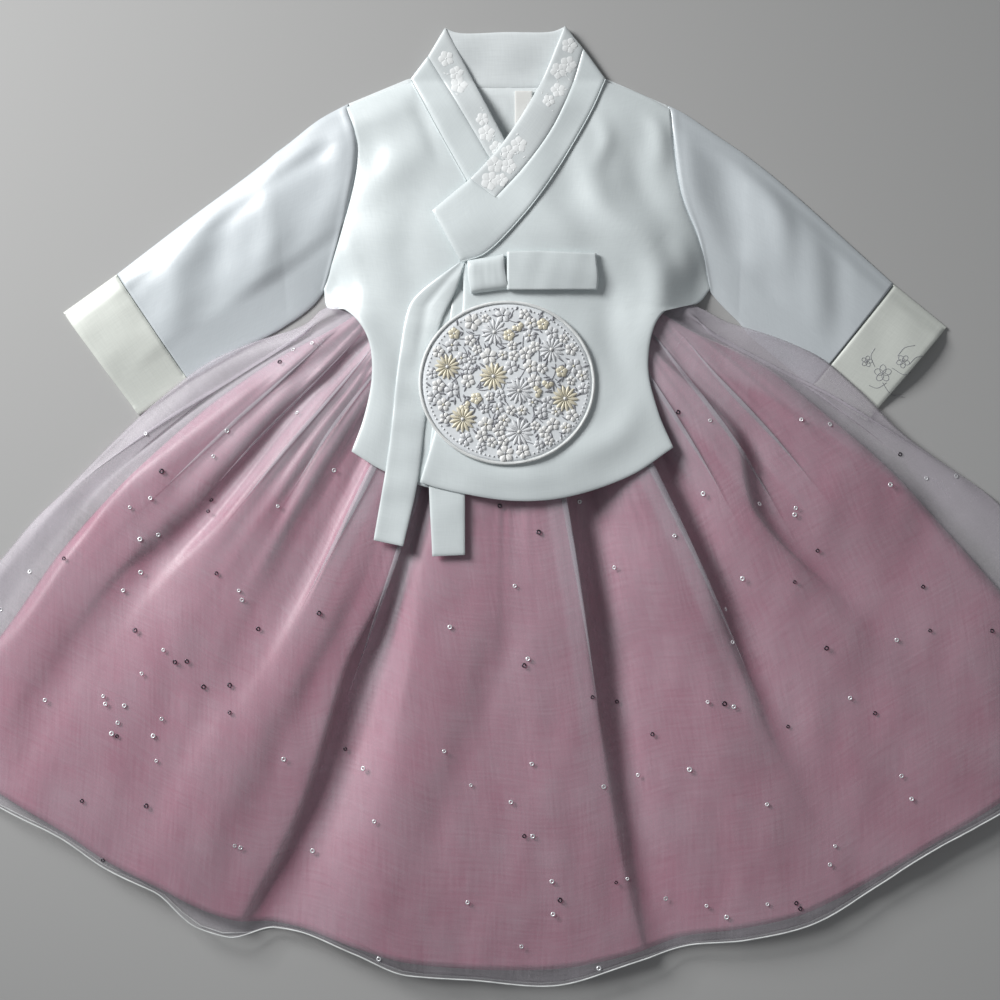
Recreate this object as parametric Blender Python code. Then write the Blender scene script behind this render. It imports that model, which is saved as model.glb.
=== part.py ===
"""Baby girl's hanbok laid flat: a white satin jacket (jeogori) over a pink skirt (chima) with an
organza overlay.

Left and right are as seen from above, with the collar at +Y.  Each cut piece is one closed wall of
cloth lying on the floor, z = 0.  The tables are in millimetres.  The skirt fans out from one point,
so it is worked out in angle and radius about that point, with one row of FOLDS for each fold line.
"""

import math

import bpy
import numpy as np
from mathutils import Vector
from mathutils.geometry import delaunay_2d_cdt

MM = 0.001

# ---- Driving dimensions, in millimetres ----
SATIN_WALL = 1.2
ORGANZA_WALL = 1.0
BAND_WALL = 1.6
SEAM_GAP = 0.3
ARMHOLE_GAP = 1.0

FAN_CENTRE = (2.0, 254.0)  # where the lines of the skirt's folds meet
WAIST_Y = 165.0  # the skirt's gathered top edge
WAISTBAND_TOP_Y = 193.0
WAISTBAND_HALF_WIDTH = 97.0
WAISTBAND_WALL = 1.6
HOLLOW = 5.0  # height left free between the skirt's front and back

# Stack of the skirt's four layers above what it rests on: the under face of each.
OVERLAY_BACK_LEVEL = 0.0
LINING_BACK_LEVEL = OVERLAY_BACK_LEVEL + ORGANZA_WALL + SEAM_GAP
LINING_FRONT_LEVEL = LINING_BACK_LEVEL + SATIN_WALL + SEAM_GAP
OVERLAY_FRONT_LEVEL = LINING_FRONT_LEVEL + SATIN_WALL + SEAM_GAP
OVERLAY_EDGE_LEVEL = OVERLAY_BACK_LEVEL + ORGANZA_WALL + SEAM_GAP

# Stack of the jacket's pieces above the under face of its under front, the left one.
SHORT_TIE_LEVEL = 1.6
UNDER_COLLAR_LEVEL = 1.6
LONG_TIE_LEVEL = 1.8
# The over front lies this far above it at the left, and comes down to it by the right side.
WRAP_LEVEL = 3.0
WRAP_FROM_X, WRAP_TO_X = 15.0, 80.0
# Above the under face of the over front.
OVER_COLLAR_LEVEL = 1.9
BOW_LEVEL = 2.1

SLEEVE_WALL = 1.1
PANEL_MESH = 22.0  # spacing of the points inside a panel
BAND_MESH = 15.0

# Share of the way from waist to hem at each row of the skirt's mesh.
SKIRT_ROWS = (0.0, 0.08, 0.17, 0.27, 0.37, 0.47, 0.58, 0.70, 0.81, 0.91, 1.0)

# Share of the way from waist to hem; height the skirt rests at over the jacket's back and the
# sleeves; rise of its folds; angle of the lining's two edges; angle of the overlay's two edges.
SKIRT_TABLE = np.array([
    # way   rest  rise  lining        overlay
    (0.00, 3.4,  2.5, -44.0, 44.0, -46.0, 46.0),
    (0.08, 3.4,  6.0, -46.5, 47.0, -49.0, 49.5),
    (0.17, 3.4,  9.0, -51.0, 52.0, -54.5, 57.0),
    (0.27, 3.4, 11.0, -51.4, 52.3, -55.8, 58.0),
    (0.42, 3.4, 13.5, -50.6, 51.6, -55.2, 57.4),
    (0.60, 0.0, 14.5, -49.2, 49.9, -53.2, 55.5),
    (0.80, 0.0, 12.0, -47.6, 48.4, -51.0, 52.5),
    (1.00, 0.0,  6.0, -47.0, 47.0, -49.69, 49.2),
])

# Angle from straight down the skirt, and radius of the overlay's and the lining's hems.
HEM_TABLE = np.array([
    # angle  overlay  lining
    (-50.0, 640.0, 630.0),
    (-44.0, 626.0, 617.0),
    (-38.0, 613.0, 605.0),
    (-30.0, 606.0, 602.0),
    (-22.0, 616.0, 603.0),
    (-15.0, 595.0, 592.0),
    (-7.0, 611.0, 602.0),
    (3.0, 615.25, 603.0),
    (13.0, 600.0, 593.0),
    (22.0, 612.5, 603.0),
    (31.0, 604.0, 600.0),
    (38.0, 611.0, 604.0),
    (44.0, 624.0, 616.0),
    (50.0, 640.0, 630.0),
])

# One row for each fold line of the skirt's front: its angle high up, half way and at the hem, and
# how far it rises there, as a share of the rise in SKIRT_TABLE.  Two lines close together, one high
# and one low, are the steep side of a deep fold.
FOLDS = np.array([
    # angle high, mid, hem    rise high, mid, hem
    (-48.5, -47.5, -44.5, 0.55, 0.50, 0.50),
    (-46.0, -45.5, -43.2, 0.75, 0.60, 0.60),
    (-43.5, -43.8, -41.8, 0.80, 0.62, 0.50),
    (-41.0, -42.8, -40.6, 0.50, 0.25, 0.30),
    (-39.6, -40.5, -39.0, 0.30, 0.25, 0.30),
    (-38.2, -38.4, -37.0, 0.85, 0.55, 0.50),
    (-35.0, -35.0, -34.0, 0.90, 0.70, 0.60),
    (-31.0, -31.0, -31.0, 0.80, 0.70, 0.65),
    (-27.0, -28.0, -29.0, 0.60, 0.80, 0.75),
    (-24.2, -25.5, -26.5, 0.78, 0.95, 0.80),
    (-22.0, -23.0, -24.0, 0.95, 1.00, 0.75),
    (-19.0, -20.5, -21.5, 0.85, 0.80, 0.55),
    (-15.9, -18.3, -19.3, 0.70, 0.68, 0.45),
    (-15.0, -17.1, -18.3, 0.12, 0.10, 0.20),
    (-14.2, -14.8, -16.6, 0.12, 0.15, 0.25),
    (-13.2, -12.6, -14.0, 0.75, 0.60, 0.50),
    (-9.0, -9.5, -10.5, 0.92, 0.92, 0.80),
    (-4.0, -6.0, -6.0, 1.00, 0.82, 0.65),
    (0.8, -1.0, -1.0, 0.86, 0.75, 0.60),
    (5.0, 4.0, 3.5, 1.00, 0.80, 0.60),
    (9.4, 9.2, 8.3, 0.90, 0.75, 0.55),
    (10.5, 10.2, 9.8, 0.10, 0.12, 0.35),
    (14.0, 11.8, 11.6, 0.10, 0.20, 0.40),
    (16.8, 14.4, 14.2, 0.45, 0.50, 0.50),
    (20.0, 18.4, 18.0, 0.75, 0.72, 0.60),
    (24.0, 23.0, 22.0, 0.95, 0.82, 0.60),
    (25.6, 24.6, 25.0, 0.85, 0.68, 0.55),
    (26.8, 26.0, 27.5, 0.18, 0.35, 0.50),
    (29.5, 29.5, 30.5, 0.35, 0.50, 0.50),
    (32.0, 33.5, 33.8, 0.80, 0.70, 0.50),
    (38.3, 37.5, 37.2, 0.95, 0.75, 0.45),
    (40.0, 41.0, 40.5, 0.60, 0.70, 0.50),
    (45.0, 45.0, 43.2, 0.75, 0.60, 0.55),
    (49.0, 47.6, 45.2, 0.50, 0.40, 0.40),
])
FOLD_WAYS = (0.0, 0.27, 0.62, 1.0)  # where the three columns hold, after the waist
WAIST_NARROWING = 0.86  # angle of a fold line at the waist, as a share of its angle high up

# Height of the jacket's front, under its cloth, down its middle.
FRONT_PROFILE = np.array([
    # y      height
    (-60.0, 26.6),
    (10.0, 26.6),
    (60.0, 25.2),
    (130.0, 21.5),
    (165.0, 18.6),
    (200.0, 18.2),
    (240.0, 12.5),
    (280.0, 9.0),
    (310.0, 6.6),
])
FRONT_EDGE_HEIGHT = 1.5
ARMHOLE_HEIGHT = 5.8
SHOULDER_ROLL = 22.0  # how far in from the shoulder line the front reaches its height
ARMPIT_ROLL = 22.0
ARMPITS = ((-136.5, 163.0), (155.0, 163.0))

# Middle and half width of the jacket's front, by height.  Past the side seams it lies free.
FRONT_WIDTHS = np.array([
    # y     middle  half width
    (100.0, 4.0, 400.0),
    (130.0, 4.0, 200.0),
    (148.0, 5.0, 152.0),
    (163.0, 9.0, 147.0),
    (178.0, 11.0, 143.0),
    (219.0, 9.5, 129.0),
    (272.0, 7.5, 119.0),
    (303.0, 2.0, 123.0),
])

# Share of the way from a sleeve's top edge to its underarm edge, and the height of its upper face
# there as a share of its full height: at the armhole, and from a third of its length on.
SLEEVE_PROFILE = np.array([
    # way   armhole  arm
    (0.05, 0.50, 0.42),
    (0.14, 0.92, 0.85),
    (0.28, 1.00, 1.00),
    (0.46, 1.00, 1.00),
    (0.64, 1.00, 1.00),
    (0.74, 0.92, 0.34),
    (0.87, 0.62, 0.32),
])
SLEEVE_EDGE_HEIGHT = 1.4
# Share of the way down the sleeve, and its full height there.
SLEEVE_HEIGHTS = np.array([(0.0, 7.2), (0.3, 9.2), (0.7, 9.0), (1.0, 8.0)])
SLEEVE_SECTIONS = (0.0, 0.12, 0.28, 0.46, 0.64, 0.82, 1.0)
CUFF_SECTIONS = (0.0, 0.5, 1.0)

# ---- Outlines, in millimetres ----
LEFT_SHOULDER = ((-70.0, 319.0), (-119.0, 299.5))
RIGHT_SHOULDER = ((74.0, 319.0), (124.0, 298.0))
LEFT_ARMHOLE = ((-119.0, 299.5), (-111.0, 271.5), (-119.0, 219.0), (-131.0, 178.0), (-136.2, 163.0))
RIGHT_ARMHOLE = ((124.0, 298.0), (126.0, 276.0), (133.0, 232.0), (145.0, 202.0), (154.5, 163.0))
LEFT_VENT = (
    (-133.0, 148.0), (-121.0, 147.0), (-109.0, 137.0), (-101.0, 121.5), (-99.0, 96.0),
    (-105.0, 65.0), (-114.0, 40.0),
)
RIGHT_VENT = (
    (145.0, 152.0), (124.5, 148.5), (112.5, 136.5), (106.5, 103.5), (114.0, 69.0), (125.0, 43.0),
)
HEM_LEFT_END = (-63.0, 17.0)
OVER_HEM = ((125.0, 43.0), (94.0, 22.5), (45.0, 6.0), (4.0, 3.5), (-46.0, 12.0), HEM_LEFT_END)
OVER_EDGE = (HEM_LEFT_END, (-52.0, 54.0), (-38.0, 110.0), (-31.5, 145.0), (-31.0, 180.0))
COLLAR_CORNER = (-33.0, 182.0)
OVER_SEAM = (
    (75.0, 321.0), (66.0, 300.0), (52.5, 275.0), (36.0, 248.0), (14.0, 218.0), (-16.0, 188.0),
    COLLAR_CORNER,
)
UNDER_SEAM = ((-70.5, 321.0), (-49.0, 281.0), (-28.0, 243.0))
NECK_POINT = (0.0, 273.0)
LEFT_PEAK = (-45.0, 359.0)
RIGHT_PEAK = (45.0, 360.0)
LEFT_NECK_EDGE = (LEFT_PEAK, (-22.5, 316.0), NECK_POINT)
RIGHT_NECK_EDGE = (RIGHT_PEAK, (26.0, 315.0), NECK_POINT, (-14.0, 256.0), (-25.5, 244.0))
OVER_STRIP_EDGE = (
    (59.0, 343.0), (51.0, 316.5), (36.0, 283.5), (16.0, 255.0), (-7.0, 229.5),
)
UNDER_STRIP_EDGE = ((-58.0, 337.5), (-34.0, 298.0), (-10.5, 258.0))
COLLAR_SQUARE_END = ((-33.0, 182.0), (-54.0, 220.0), (-25.5, 244.0))

# Each sleeve: armhole seam, top edge, cuff seam and underarm edge, all from the body outward or
# from the top edge down; then the far end of its cuff.
LEFT_SLEEVE = {
    "top": ((-120.5, 302.5), (-148.0, 288.0), (-179.0, 260.0), (-243.0, 212.0), (-292.5, 174.0)),
    "under": ((-137.5, 162.0), (-147.0, 150.0), (-165.0, 135.0), (-200.0, 116.0), (-238.5, 94.0)),
    "armhole": LEFT_ARMHOLE,
    "cuff_end": ((-333.0, 145.0), (-276.0, 67.5)),
}
RIGHT_SLEEVE = {
    "top": ((125.5, 301.0), (137.0, 295.5), (191.0, 256.5), (217.0, 235.0), (293.0, 166.5)),
    "under": ((155.8, 162.0), (172.5, 142.5), (184.0, 128.0), (204.0, 111.0), (231.0, 89.0)),
    "armhole": RIGHT_ARMHOLE,
    "cuff_end": ((333.0, 134.0), (273.0, 63.0)),
}

MEDALLION_CENTRE = (1.5, 91.0)
MEDALLION_HALF_AXES = (63.5, 59.0)
PIPING_RADIUS = 1.2
KNOT = ((-28.0, 182.3), (-1.0, 187.0), (3.0, 161.0), (-25.0, 157.5))
KNOT_HEIGHT = 5.0
LOOP = ((3.4, 189.0), (69.0, 191.0), (71.0, 161.0), (3.4, 160.0))
LOOP_HEIGHT = 3.4
LONG_TIE_LEFT = ((-34.0, 181.0), (-63.0, 159.0), (-71.0, 149.0), (-79.0, 107.0), (-86.0, 43.0), (-97.5, -26.0))
LONG_TIE_RIGHT = ((-76.0, -30.5), (-65.5, 16.0), (-59.5, 64.0), (-48.0, 136.5), (-37.0, 160.0), (-30.5, 180.0))
SHORT_TIE = ((-54.0, -38.0), (-30.0, -37.0), (-30.0, 60.0), (-24.0, 155.0), (-38.0, 164.0), (-46.0, 100.0), (-56.0, 40.0))
LABEL = ((7.5, 282.0), (21.0, 282.0), (21.0, 312.0), (7.5, 312.0))

# Hex colour, roughness.
MATERIALS = {
    "satin": ("#E3E9E7", 0.35),
    "satin_inside": ("#D9DFDE", 0.5),
    "cuff_satin": ("#E2E6DC", 0.4),
    "brocade": ("#EDF0EF", 0.45),
    "pink_satin": ("#C08E9B", 0.45),
    "organza": ("#DDD3DA", 0.6),
    "embroidery": ("#E6E3D8", 0.6),
    "cord": ("#EEF0EE", 0.5),
    "label": ("#F2F2F0", 0.7),
    "cotton": ("#EFEFEC", 0.8),
}


def curve(points, count):
    """Points at even steps along a Catmull-Rom curve through the given ones."""
    knots = np.array(points, float)
    ends = np.vstack([2 * knots[0] - knots[1], knots, 2 * knots[-1] - knots[-2]])
    steps = np.linspace(0.0, len(knots) - 1.0, count)
    first = np.minimum(steps.astype(int), len(knots) - 2)
    t = (steps - first)[:, None]
    a, b, c, d = (ends[first + k] for k in range(4))
    return 0.5 * (2 * b + (c - a) * t + (2 * a - 5 * b + 4 * c - d) * t**2
                  + (3 * b - a - 3 * c + d) * t**3)


def outline(*stretches):
    """One closed outline from stretches of points, without repeated corners."""
    points = np.vstack([np.array(stretch, float) for stretch in stretches])
    steps = np.linalg.norm(points - np.roll(points, 1, axis=0), axis=1)
    return points[steps > 0.05]


def beside(points, gap):
    """The open line moved sideways, to the left of its direction."""
    steps = np.gradient(np.asarray(points, float), axis=0)
    left = np.column_stack([-steps[:, 1], steps[:, 0]])
    return points + gap * left / np.linalg.norm(left, axis=1)[:, None]


def divided(points, spacing):
    """The closed outline with each long side cut into steps of about the spacing."""
    rows = []
    for start, end in zip(points, np.roll(points, -1, axis=0)):
        count = max(1, round(float(np.linalg.norm(end - start)) / spacing))
        rows.append(start + (end - start) * (np.arange(count) / count)[:, None])
    return np.vstack(rows)


def inside(points, x, y):
    """Whether each place lies in the closed outline, by counting the sides it looks across."""
    found = np.zeros(np.shape(x), bool)
    for (ax, ay), (bx, by) in zip(points, np.roll(points, -1, axis=0)):
        crosses = (ay > y) != (by > y)
        slope = (bx - ax) / (by - ay) if by != ay else 0.0
        found ^= crosses & (x < ax + (y - ay) * slope)
    return found


def inner_points(points, spacing):
    """Staggered points inside the outline, clear of its sides."""
    low, high = points.min(axis=0), points.max(axis=0)
    columns, rows = (np.ceil((high - low) / spacing) + 1).astype(int)
    places = np.array([
        (low[0] + (i + 0.5 * (j % 2)) * spacing, low[1] + (j + 0.5) * spacing)
        for j in range(rows) for i in range(columns)
    ])
    places = places[inside(points, places[:, 0], places[:, 1])]
    if len(places) == 0:
        return places.reshape(0, 2)
    sides = divided(points, spacing / 6)
    nearest = np.linalg.norm(places[:, None] - sides[None], axis=2).min(axis=1)
    return places[nearest > 0.45 * spacing]


def material(name):
    """One plain Principled material from the table."""
    colour, roughness = MATERIALS[name]
    made = bpy.data.materials.new(name)
    made.use_nodes = True
    shader = made.node_tree.nodes["Principled BSDF"]
    channels = [int(colour[i:i + 2], 16) / 255 for i in (1, 3, 5)]
    linear = [c / 12.92 if c <= 0.04045 else ((c + 0.055) / 1.055) ** 2.4 for c in channels]
    shader.inputs["Base Color"].default_value = (*linear, 1.0)
    shader.inputs["Roughness"].default_value = roughness
    shader.inputs["Metallic"].default_value = 0.0
    return made


def solid(name, points, faces, cloth):
    """One object from points in millimetres and faces."""
    mesh = bpy.data.meshes.new(name)
    mesh.from_pydata((np.asarray(points) * MM).tolist(), [], [list(map(int, face)) for face in faces])
    mesh.materials.append(material(cloth))
    mesh.validate()
    made = bpy.data.objects.new(name, mesh)
    bpy.context.collection.objects.link(made)
    return made


def wall_from_faces(name, lower, upper, faces, cloth):
    """Close a lower and an upper skin, with the same triangles, round their free edges."""
    faces = np.asarray(faces)
    sides = np.concatenate([faces[:, [0, 1]], faces[:, [1, 2]], faces[:, [2, 0]]])
    known = {tuple(side) for side in sides.tolist()}
    free = np.array([side for side in sides.tolist() if (side[1], side[0]) not in known])
    count = len(lower)
    a, b = free[:, 0], free[:, 1]
    rim = np.concatenate([np.stack([a, b, b + count], 1), np.stack([a, b + count, a + count], 1)])
    return solid(name, np.vstack([lower, upper]),
                 np.concatenate([faces[:, ::-1], faces + count, rim]), cloth)


def panel(name, edge, under_face, thickness, cloth, spacing=PANEL_MESH):
    """A flat-cut piece: its outline filled with triangles, lying on under_face(x, y)."""
    edge = divided(edge, spacing)
    places = np.vstack([edge, inner_points(edge, spacing)])
    found = delaunay_2d_cdt([Vector(p) for p in places], [], [list(range(len(edge)))], 1, 1e-5)
    flat = np.array([tuple(p) for p in found[0]])
    faces = np.array([tuple(face) for face in found[2]])
    corners = flat[faces]
    turn = np.cross(corners[:, 1] - corners[:, 0], corners[:, 2] - corners[:, 0])
    faces[turn < 0] = faces[turn < 0][:, ::-1]
    height = under_face(flat[:, 0], flat[:, 1])
    lower = np.column_stack([flat, height])
    upper = np.column_stack([flat, height + thickness])
    return wall_from_faces(name, lower, upper, faces, cloth)


def grid_faces(rows, columns):
    """Triangles of a grid of points, with one way of cutting each square."""
    i, j = np.meshgrid(np.arange(rows - 1), np.arange(columns - 1), indexing="ij")
    a = (i * columns + j).ravel()
    b, c, d = a + columns, a + columns + 1, a + 1
    return np.concatenate([np.stack([a, b, c], 1), np.stack([a, c, d], 1)])


# ---- Skirt ----

def skirt_value(way, column):
    return np.interp(way, SKIRT_TABLE[:, 0], SKIRT_TABLE[:, column])


def hem_radius(angle, column):
    """Radius of a hem: a smooth wave through the table's rows."""
    angles = HEM_TABLE[:, 0]
    at = np.clip(np.searchsorted(angles, angle) - 1, 0, len(angles) - 2)
    t = np.clip((angle - angles[at]) / (angles[at + 1] - angles[at]), 0.0, 1.0)
    smooth = t * t * (3 - 2 * t)
    return HEM_TABLE[at, column] * (1 - smooth) + HEM_TABLE[at + 1, column] * smooth


def fold_lines(way):
    """Angle and rise of each fold line at one row of the skirt, edges included."""
    angles = np.array([
        np.interp(way, FOLD_WAYS, (WAIST_NARROWING * a, a, b, c)) for a, b, c in FOLDS[:, :3]
    ])
    rises = np.array([np.interp(way, FOLD_WAYS, (1.0, a, b, c)) for a, b, c in FOLDS[:, 3:]])
    left, right = skirt_value(way, 3), skirt_value(way, 4)
    heights = HOLLOW + skirt_value(way, 2) * rises
    return np.concatenate([[left], angles, [right]]), np.concatenate([[0.0], heights, [0.0]])


def fan_points(angles, way, hem_column):
    """Places on one row of the fan, from the straight waist to the wavy hem."""
    turn = np.radians(angles)
    waist = (FAN_CENTRE[1] - WAIST_Y) / np.cos(turn)
    radius = waist + way * (hem_radius(angles, hem_column) - waist)
    return np.column_stack([FAN_CENTRE[0] + radius * np.sin(turn),
                            FAN_CENTRE[1] - radius * np.cos(turn)])


def lining_rows(front):
    """Rows of places and heights of the lining's under face."""
    for way in SKIRT_ROWS:
        angles, rises = fold_lines(way)
        level = LINING_FRONT_LEVEL + rises if front else np.full(len(angles), LINING_BACK_LEVEL)
        yield fan_points(angles, way, 2), skirt_value(way, 1) + level


def overlay_rows(front):
    """Rows of the overlay's under face: over the lining, past its side edges and past its hem."""
    for way in (*SKIRT_ROWS, None):
        past_hem = way is None
        way = 1.0 if past_hem else way
        angles, rises = fold_lines(way)
        places = fan_points(angles, way, 1 if past_hem else 2)
        level = OVERLAY_FRONT_LEVEL + rises if front else np.full(len(angles), OVERLAY_BACK_LEVEL)
        edge = OVERLAY_EDGE_LEVEL if front else OVERLAY_BACK_LEVEL
        for side, column in ((0, 5), (-1, 6)):
            outer = fan_points(np.array([skirt_value(way, column)]), way, 1 if past_hem else 2)
            middle = 0.5 * (outer + places[[side]])
            pair = [outer, middle] if side == 0 else [middle, outer]
            places = np.vstack([*pair, places] if side == 0 else [places, *pair])
            level = np.concatenate([[edge] * 2, level] if side == 0 else [level, [edge] * 2])
        yield places, skirt_value(way, 1) + level


def skirt_layer(name, rows, thickness, cloth, every=1):
    """One layer of the skirt, from its rows; every n-th fold line is kept, and all the edges."""
    rows = list(rows)
    count = len(rows[0][1])
    keep = [k for k in range(count) if k % every == 0 or k < 3 or k > count - 4]
    lower = np.vstack([np.column_stack([places, heights])[keep] for places, heights in rows])
    upper = lower + (0.0, 0.0, thickness)
    return wall_from_faces(name, lower, upper, grid_faces(len(rows), len(keep)), cloth)


def make_skirt():
    skirt_layer("skirt_overlay_back", overlay_rows(front=False), ORGANZA_WALL, "organza", every=3)
    skirt_layer("skirt_lining_back", lining_rows(front=False), SATIN_WALL, "pink_satin", every=3)
    skirt_layer("skirt_lining_front", lining_rows(front=True), SATIN_WALL, "pink_satin")
    skirt_layer("skirt_overlay_front", overlay_rows(front=True), ORGANZA_WALL, "organza")


def make_waistband():
    """A flattened band round the gathered top of the skirt, open at both ends."""
    low = skirt_value(0.0, 1)
    high = low + OVERLAY_FRONT_LEVEL + ORGANZA_WALL + HOLLOW + skirt_value(0.0, 2)
    middle, reach, height = 0.5 * (low + high), WAISTBAND_HALF_WIDTH, 0.5 * (high - low)
    turns = np.radians(np.arange(0.0, 360.0, 20.0))
    squared = [np.sign(f(turns)) * np.abs(f(turns)) ** 0.45 for f in (np.cos, np.sin)]
    rings = []
    for inset in (0.0, WAISTBAND_WALL):
        rings.append(np.column_stack([FAN_CENTRE[0] + (reach - inset) * squared[0],
                                      middle + (height - inset) * squared[1]]))
    sections = [
        [np.column_stack([ring[:, 0], np.full(len(ring), y), ring[:, 1]]) for ring in rings]
        for y in (WAISTBAND_TOP_Y, WAIST_Y + SEAM_GAP)
    ]
    tube("skirt_waistband", sections, "cotton")


# ---- Tubes ----

def tube(name, sections, cloth):
    """A wall between the outer and the inner rings of its sections, open at both ends."""
    count = len(sections[0][0])
    points, faces = [], []
    for outer, inner in sections:
        points += [outer, inner]
    ring = np.arange(count)
    after = (ring + 1) % count

    def strip(first, second):
        a, b, c, d = first + ring, first + after, second + after, second + ring
        faces.append(np.stack([a, b, c], 1))
        faces.append(np.stack([a, c, d], 1))

    for k in range(len(sections) - 1):
        here, there = 2 * k * count, 2 * (k + 1) * count
        strip(here, there)
        strip(there + count, here + count)
    last = 2 * (len(sections) - 1) * count
    strip(count, 0)
    strip(last, last + count)
    made = solid(name, np.vstack(points), np.concatenate(faces), cloth)
    face_outward(made)
    return made


def face_outward(made):
    """Turn the whole closed mesh over if its volume comes out negative."""
    mesh = made.data
    corners = np.array([v.co[:] for v in mesh.vertices])
    faces = np.array([p.vertices[:] for p in mesh.polygons])
    if np.linalg.det(corners[faces]).sum() < 0:
        mesh.flip_normals()


def sleeve_section(top, under, way, full):
    """Outer and inner ring of a flattened sleeve between its top and underarm edge points."""
    blend = min(way / 0.3, 1.0)
    shares = SLEEVE_PROFILE[:, 1] * (1 - blend) + SLEEVE_PROFILE[:, 2] * blend
    upper_way = np.concatenate([[0.0], SLEEVE_PROFILE[:, 0], [1.0]])
    upper_height = np.concatenate([[SLEEVE_EDGE_HEIGHT], full * shares, [SLEEVE_EDGE_HEIGHT]])
    lower_way = SLEEVE_PROFILE[::-1, 0]
    ways = np.concatenate([upper_way, lower_way])
    heights = np.concatenate([upper_height, np.zeros(len(lower_way))])
    across = under - top
    width = float(np.linalg.norm(across))
    inset = 1.6 * SLEEVE_WALL / width
    inner_ways = inset + ways * (1 - 2 * inset)
    inner_heights = np.concatenate([
        upper_height - np.where((upper_way == 0) | (upper_way == 1), 0.0, SLEEVE_WALL),
        np.full(len(lower_way), SLEEVE_WALL),
    ])
    return [
        np.column_stack([top + w[:, None] * across, h])
        for w, h in ((ways, heights), (inner_ways, inner_heights))
    ]


def make_sleeve(side, sleeve):
    """The sleeve, bowed at its first section to follow the armhole seam, and the cuff on it."""
    stations = np.round(np.array(SLEEVE_SECTIONS) * 100).astype(int)
    top, under = (curve(sleeve[edge], 101)[stations] for edge in ("top", "under"))
    seam = curve(sleeve["armhole"], 41)
    outward = -1.0 if side == "left" else 1.0
    sections = []
    for way, a, b in zip(SLEEVE_SECTIONS, top, under):
        full = float(np.interp(way, SLEEVE_HEIGHTS[:, 0], SLEEVE_HEIGHTS[:, 1]))
        rings = sleeve_section(a, b, way, full)
        for ring in rings:
            seam_x = np.interp(-ring[:, 1], -seam[:, 1], seam[:, 0]) + outward * ARMHOLE_GAP
            chord_x = np.interp(-ring[:, 1], (-a[1], -b[1]), (a[0], b[0]))
            ring[:, 0] += (seam_x - chord_x) * max(0.0, 1 - way / 0.3)
        sections.append(rings)
    tube("sleeve_" + side, sections, "satin")

    end_top, end_under = (np.array(p) for p in sleeve["cuff_end"])
    step_top, step_under = end_top - top[-1], end_under - under[-1]
    gap = SEAM_GAP / float(np.linalg.norm(step_top))
    cuff = []
    for way in CUFF_SECTIONS:
        along = gap + way * (1 - gap)
        a, b = top[-1] + along * step_top, under[-1] + along * step_under
        cuff.append(sleeve_section(a, b, 1.0, SLEEVE_HEIGHTS[-1, 1] - 0.6 * way))
    tube("cuff_" + side, cuff, "cuff_satin")


# ---- Jacket ----

def shoulder_y(x):
    """The line where the jacket's front meets its back at the shoulders."""
    return np.interp(x, (-119.0, -70.0, 74.0, 124.0), (299.5, 319.0, 319.0, 298.0))


def front_height(x, y):
    """Under face of the jacket's front.

    It is low along the shoulder line and at the armpits, and between them it follows the skirt
    under it, falling off towards the armholes.
    """
    middle = np.interp(y, FRONT_WIDTHS[:, 0], FRONT_WIDTHS[:, 1])
    half = np.interp(y, FRONT_WIDTHS[:, 0], FRONT_WIDTHS[:, 2])
    side = 1 - np.minimum(np.abs(x - middle) / half, 1.0) ** 6
    profile = np.interp(y, FRONT_PROFILE[:, 0], FRONT_PROFILE[:, 1])
    rolled = np.clip((shoulder_y(x) - y) / SHOULDER_ROLL, 0.0, 1.0)
    rolled = rolled * (2 - rolled)
    for ax, ay in ARMPITS:
        rolled = rolled * (1 - np.exp(-((x - ax) ** 2 + (y - ay) ** 2) / ARMPIT_ROLL**2))
    return (FRONT_EDGE_HEIGHT + (ARMHOLE_HEIGHT - FRONT_EDGE_HEIGHT) * rolled
            + (profile - ARMHOLE_HEIGHT) * side * rolled)


def over_height(x, y):
    """Under face of the over front: above the under front at the left, down to its own seams."""
    way = np.clip((x - WRAP_FROM_X) / (WRAP_TO_X - WRAP_FROM_X), 0.0, 1.0)
    return front_height(x, y) + WRAP_LEVEL * (1 - way * way * (3 - 2 * way))


def on_front(level):
    return lambda x, y: front_height(x, y) + level


def on_over(level):
    return lambda x, y: over_height(x, y) + level


def on_floor(level):
    return lambda x, y: np.full(np.shape(x), level)


def over_front_outline():
    return outline(
        ((75.5, 319.0),), RIGHT_SHOULDER[1:], curve(RIGHT_ARMHOLE, 9)[1:], curve(RIGHT_VENT, 10),
        curve(OVER_HEM, 9)[1:], curve(OVER_EDGE, 6)[1:], ((-27.0, 184.0),),
        curve([(x - 3.0, y + 3.0) for x, y in OVER_SEAM[::-1][1:]], 9),
    )[::-1]


def under_front_outline():
    return outline(
        ((-66.0, 319.0),), LEFT_SHOULDER[:1], LEFT_SHOULDER[1:], curve(LEFT_ARMHOLE, 9)[1:],
        curve(LEFT_VENT, 10), ((-91.0, 26.0), (-60.0, 14.0), (-20.0, 8.0), (18.0, 7.0)),
        ((18.0, 190.0), (-24.0, 243.0)),
    )


def back_outline():
    """The back, cut like both fronts together, and a little past them along the shoulders."""
    return outline(
        ((-71.0, 315.7), (-71.5, 322.5), (-118.6, 303.0)),
        curve(LEFT_ARMHOLE, 9)[1:], curve(LEFT_VENT, 9),
        curve([(-114.0, 40.0), (-60.0, 14.0), (4.0, 4.5), (70.0, 14.0), (125.0, 43.0)], 9)[1:],
        curve(RIGHT_VENT[::-1], 9)[1:], curve(RIGHT_ARMHOLE[::-1], 9)[:-1],
        ((123.6, 301.5), (75.5, 322.5), (74.5, 315.7)),
    )


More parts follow.
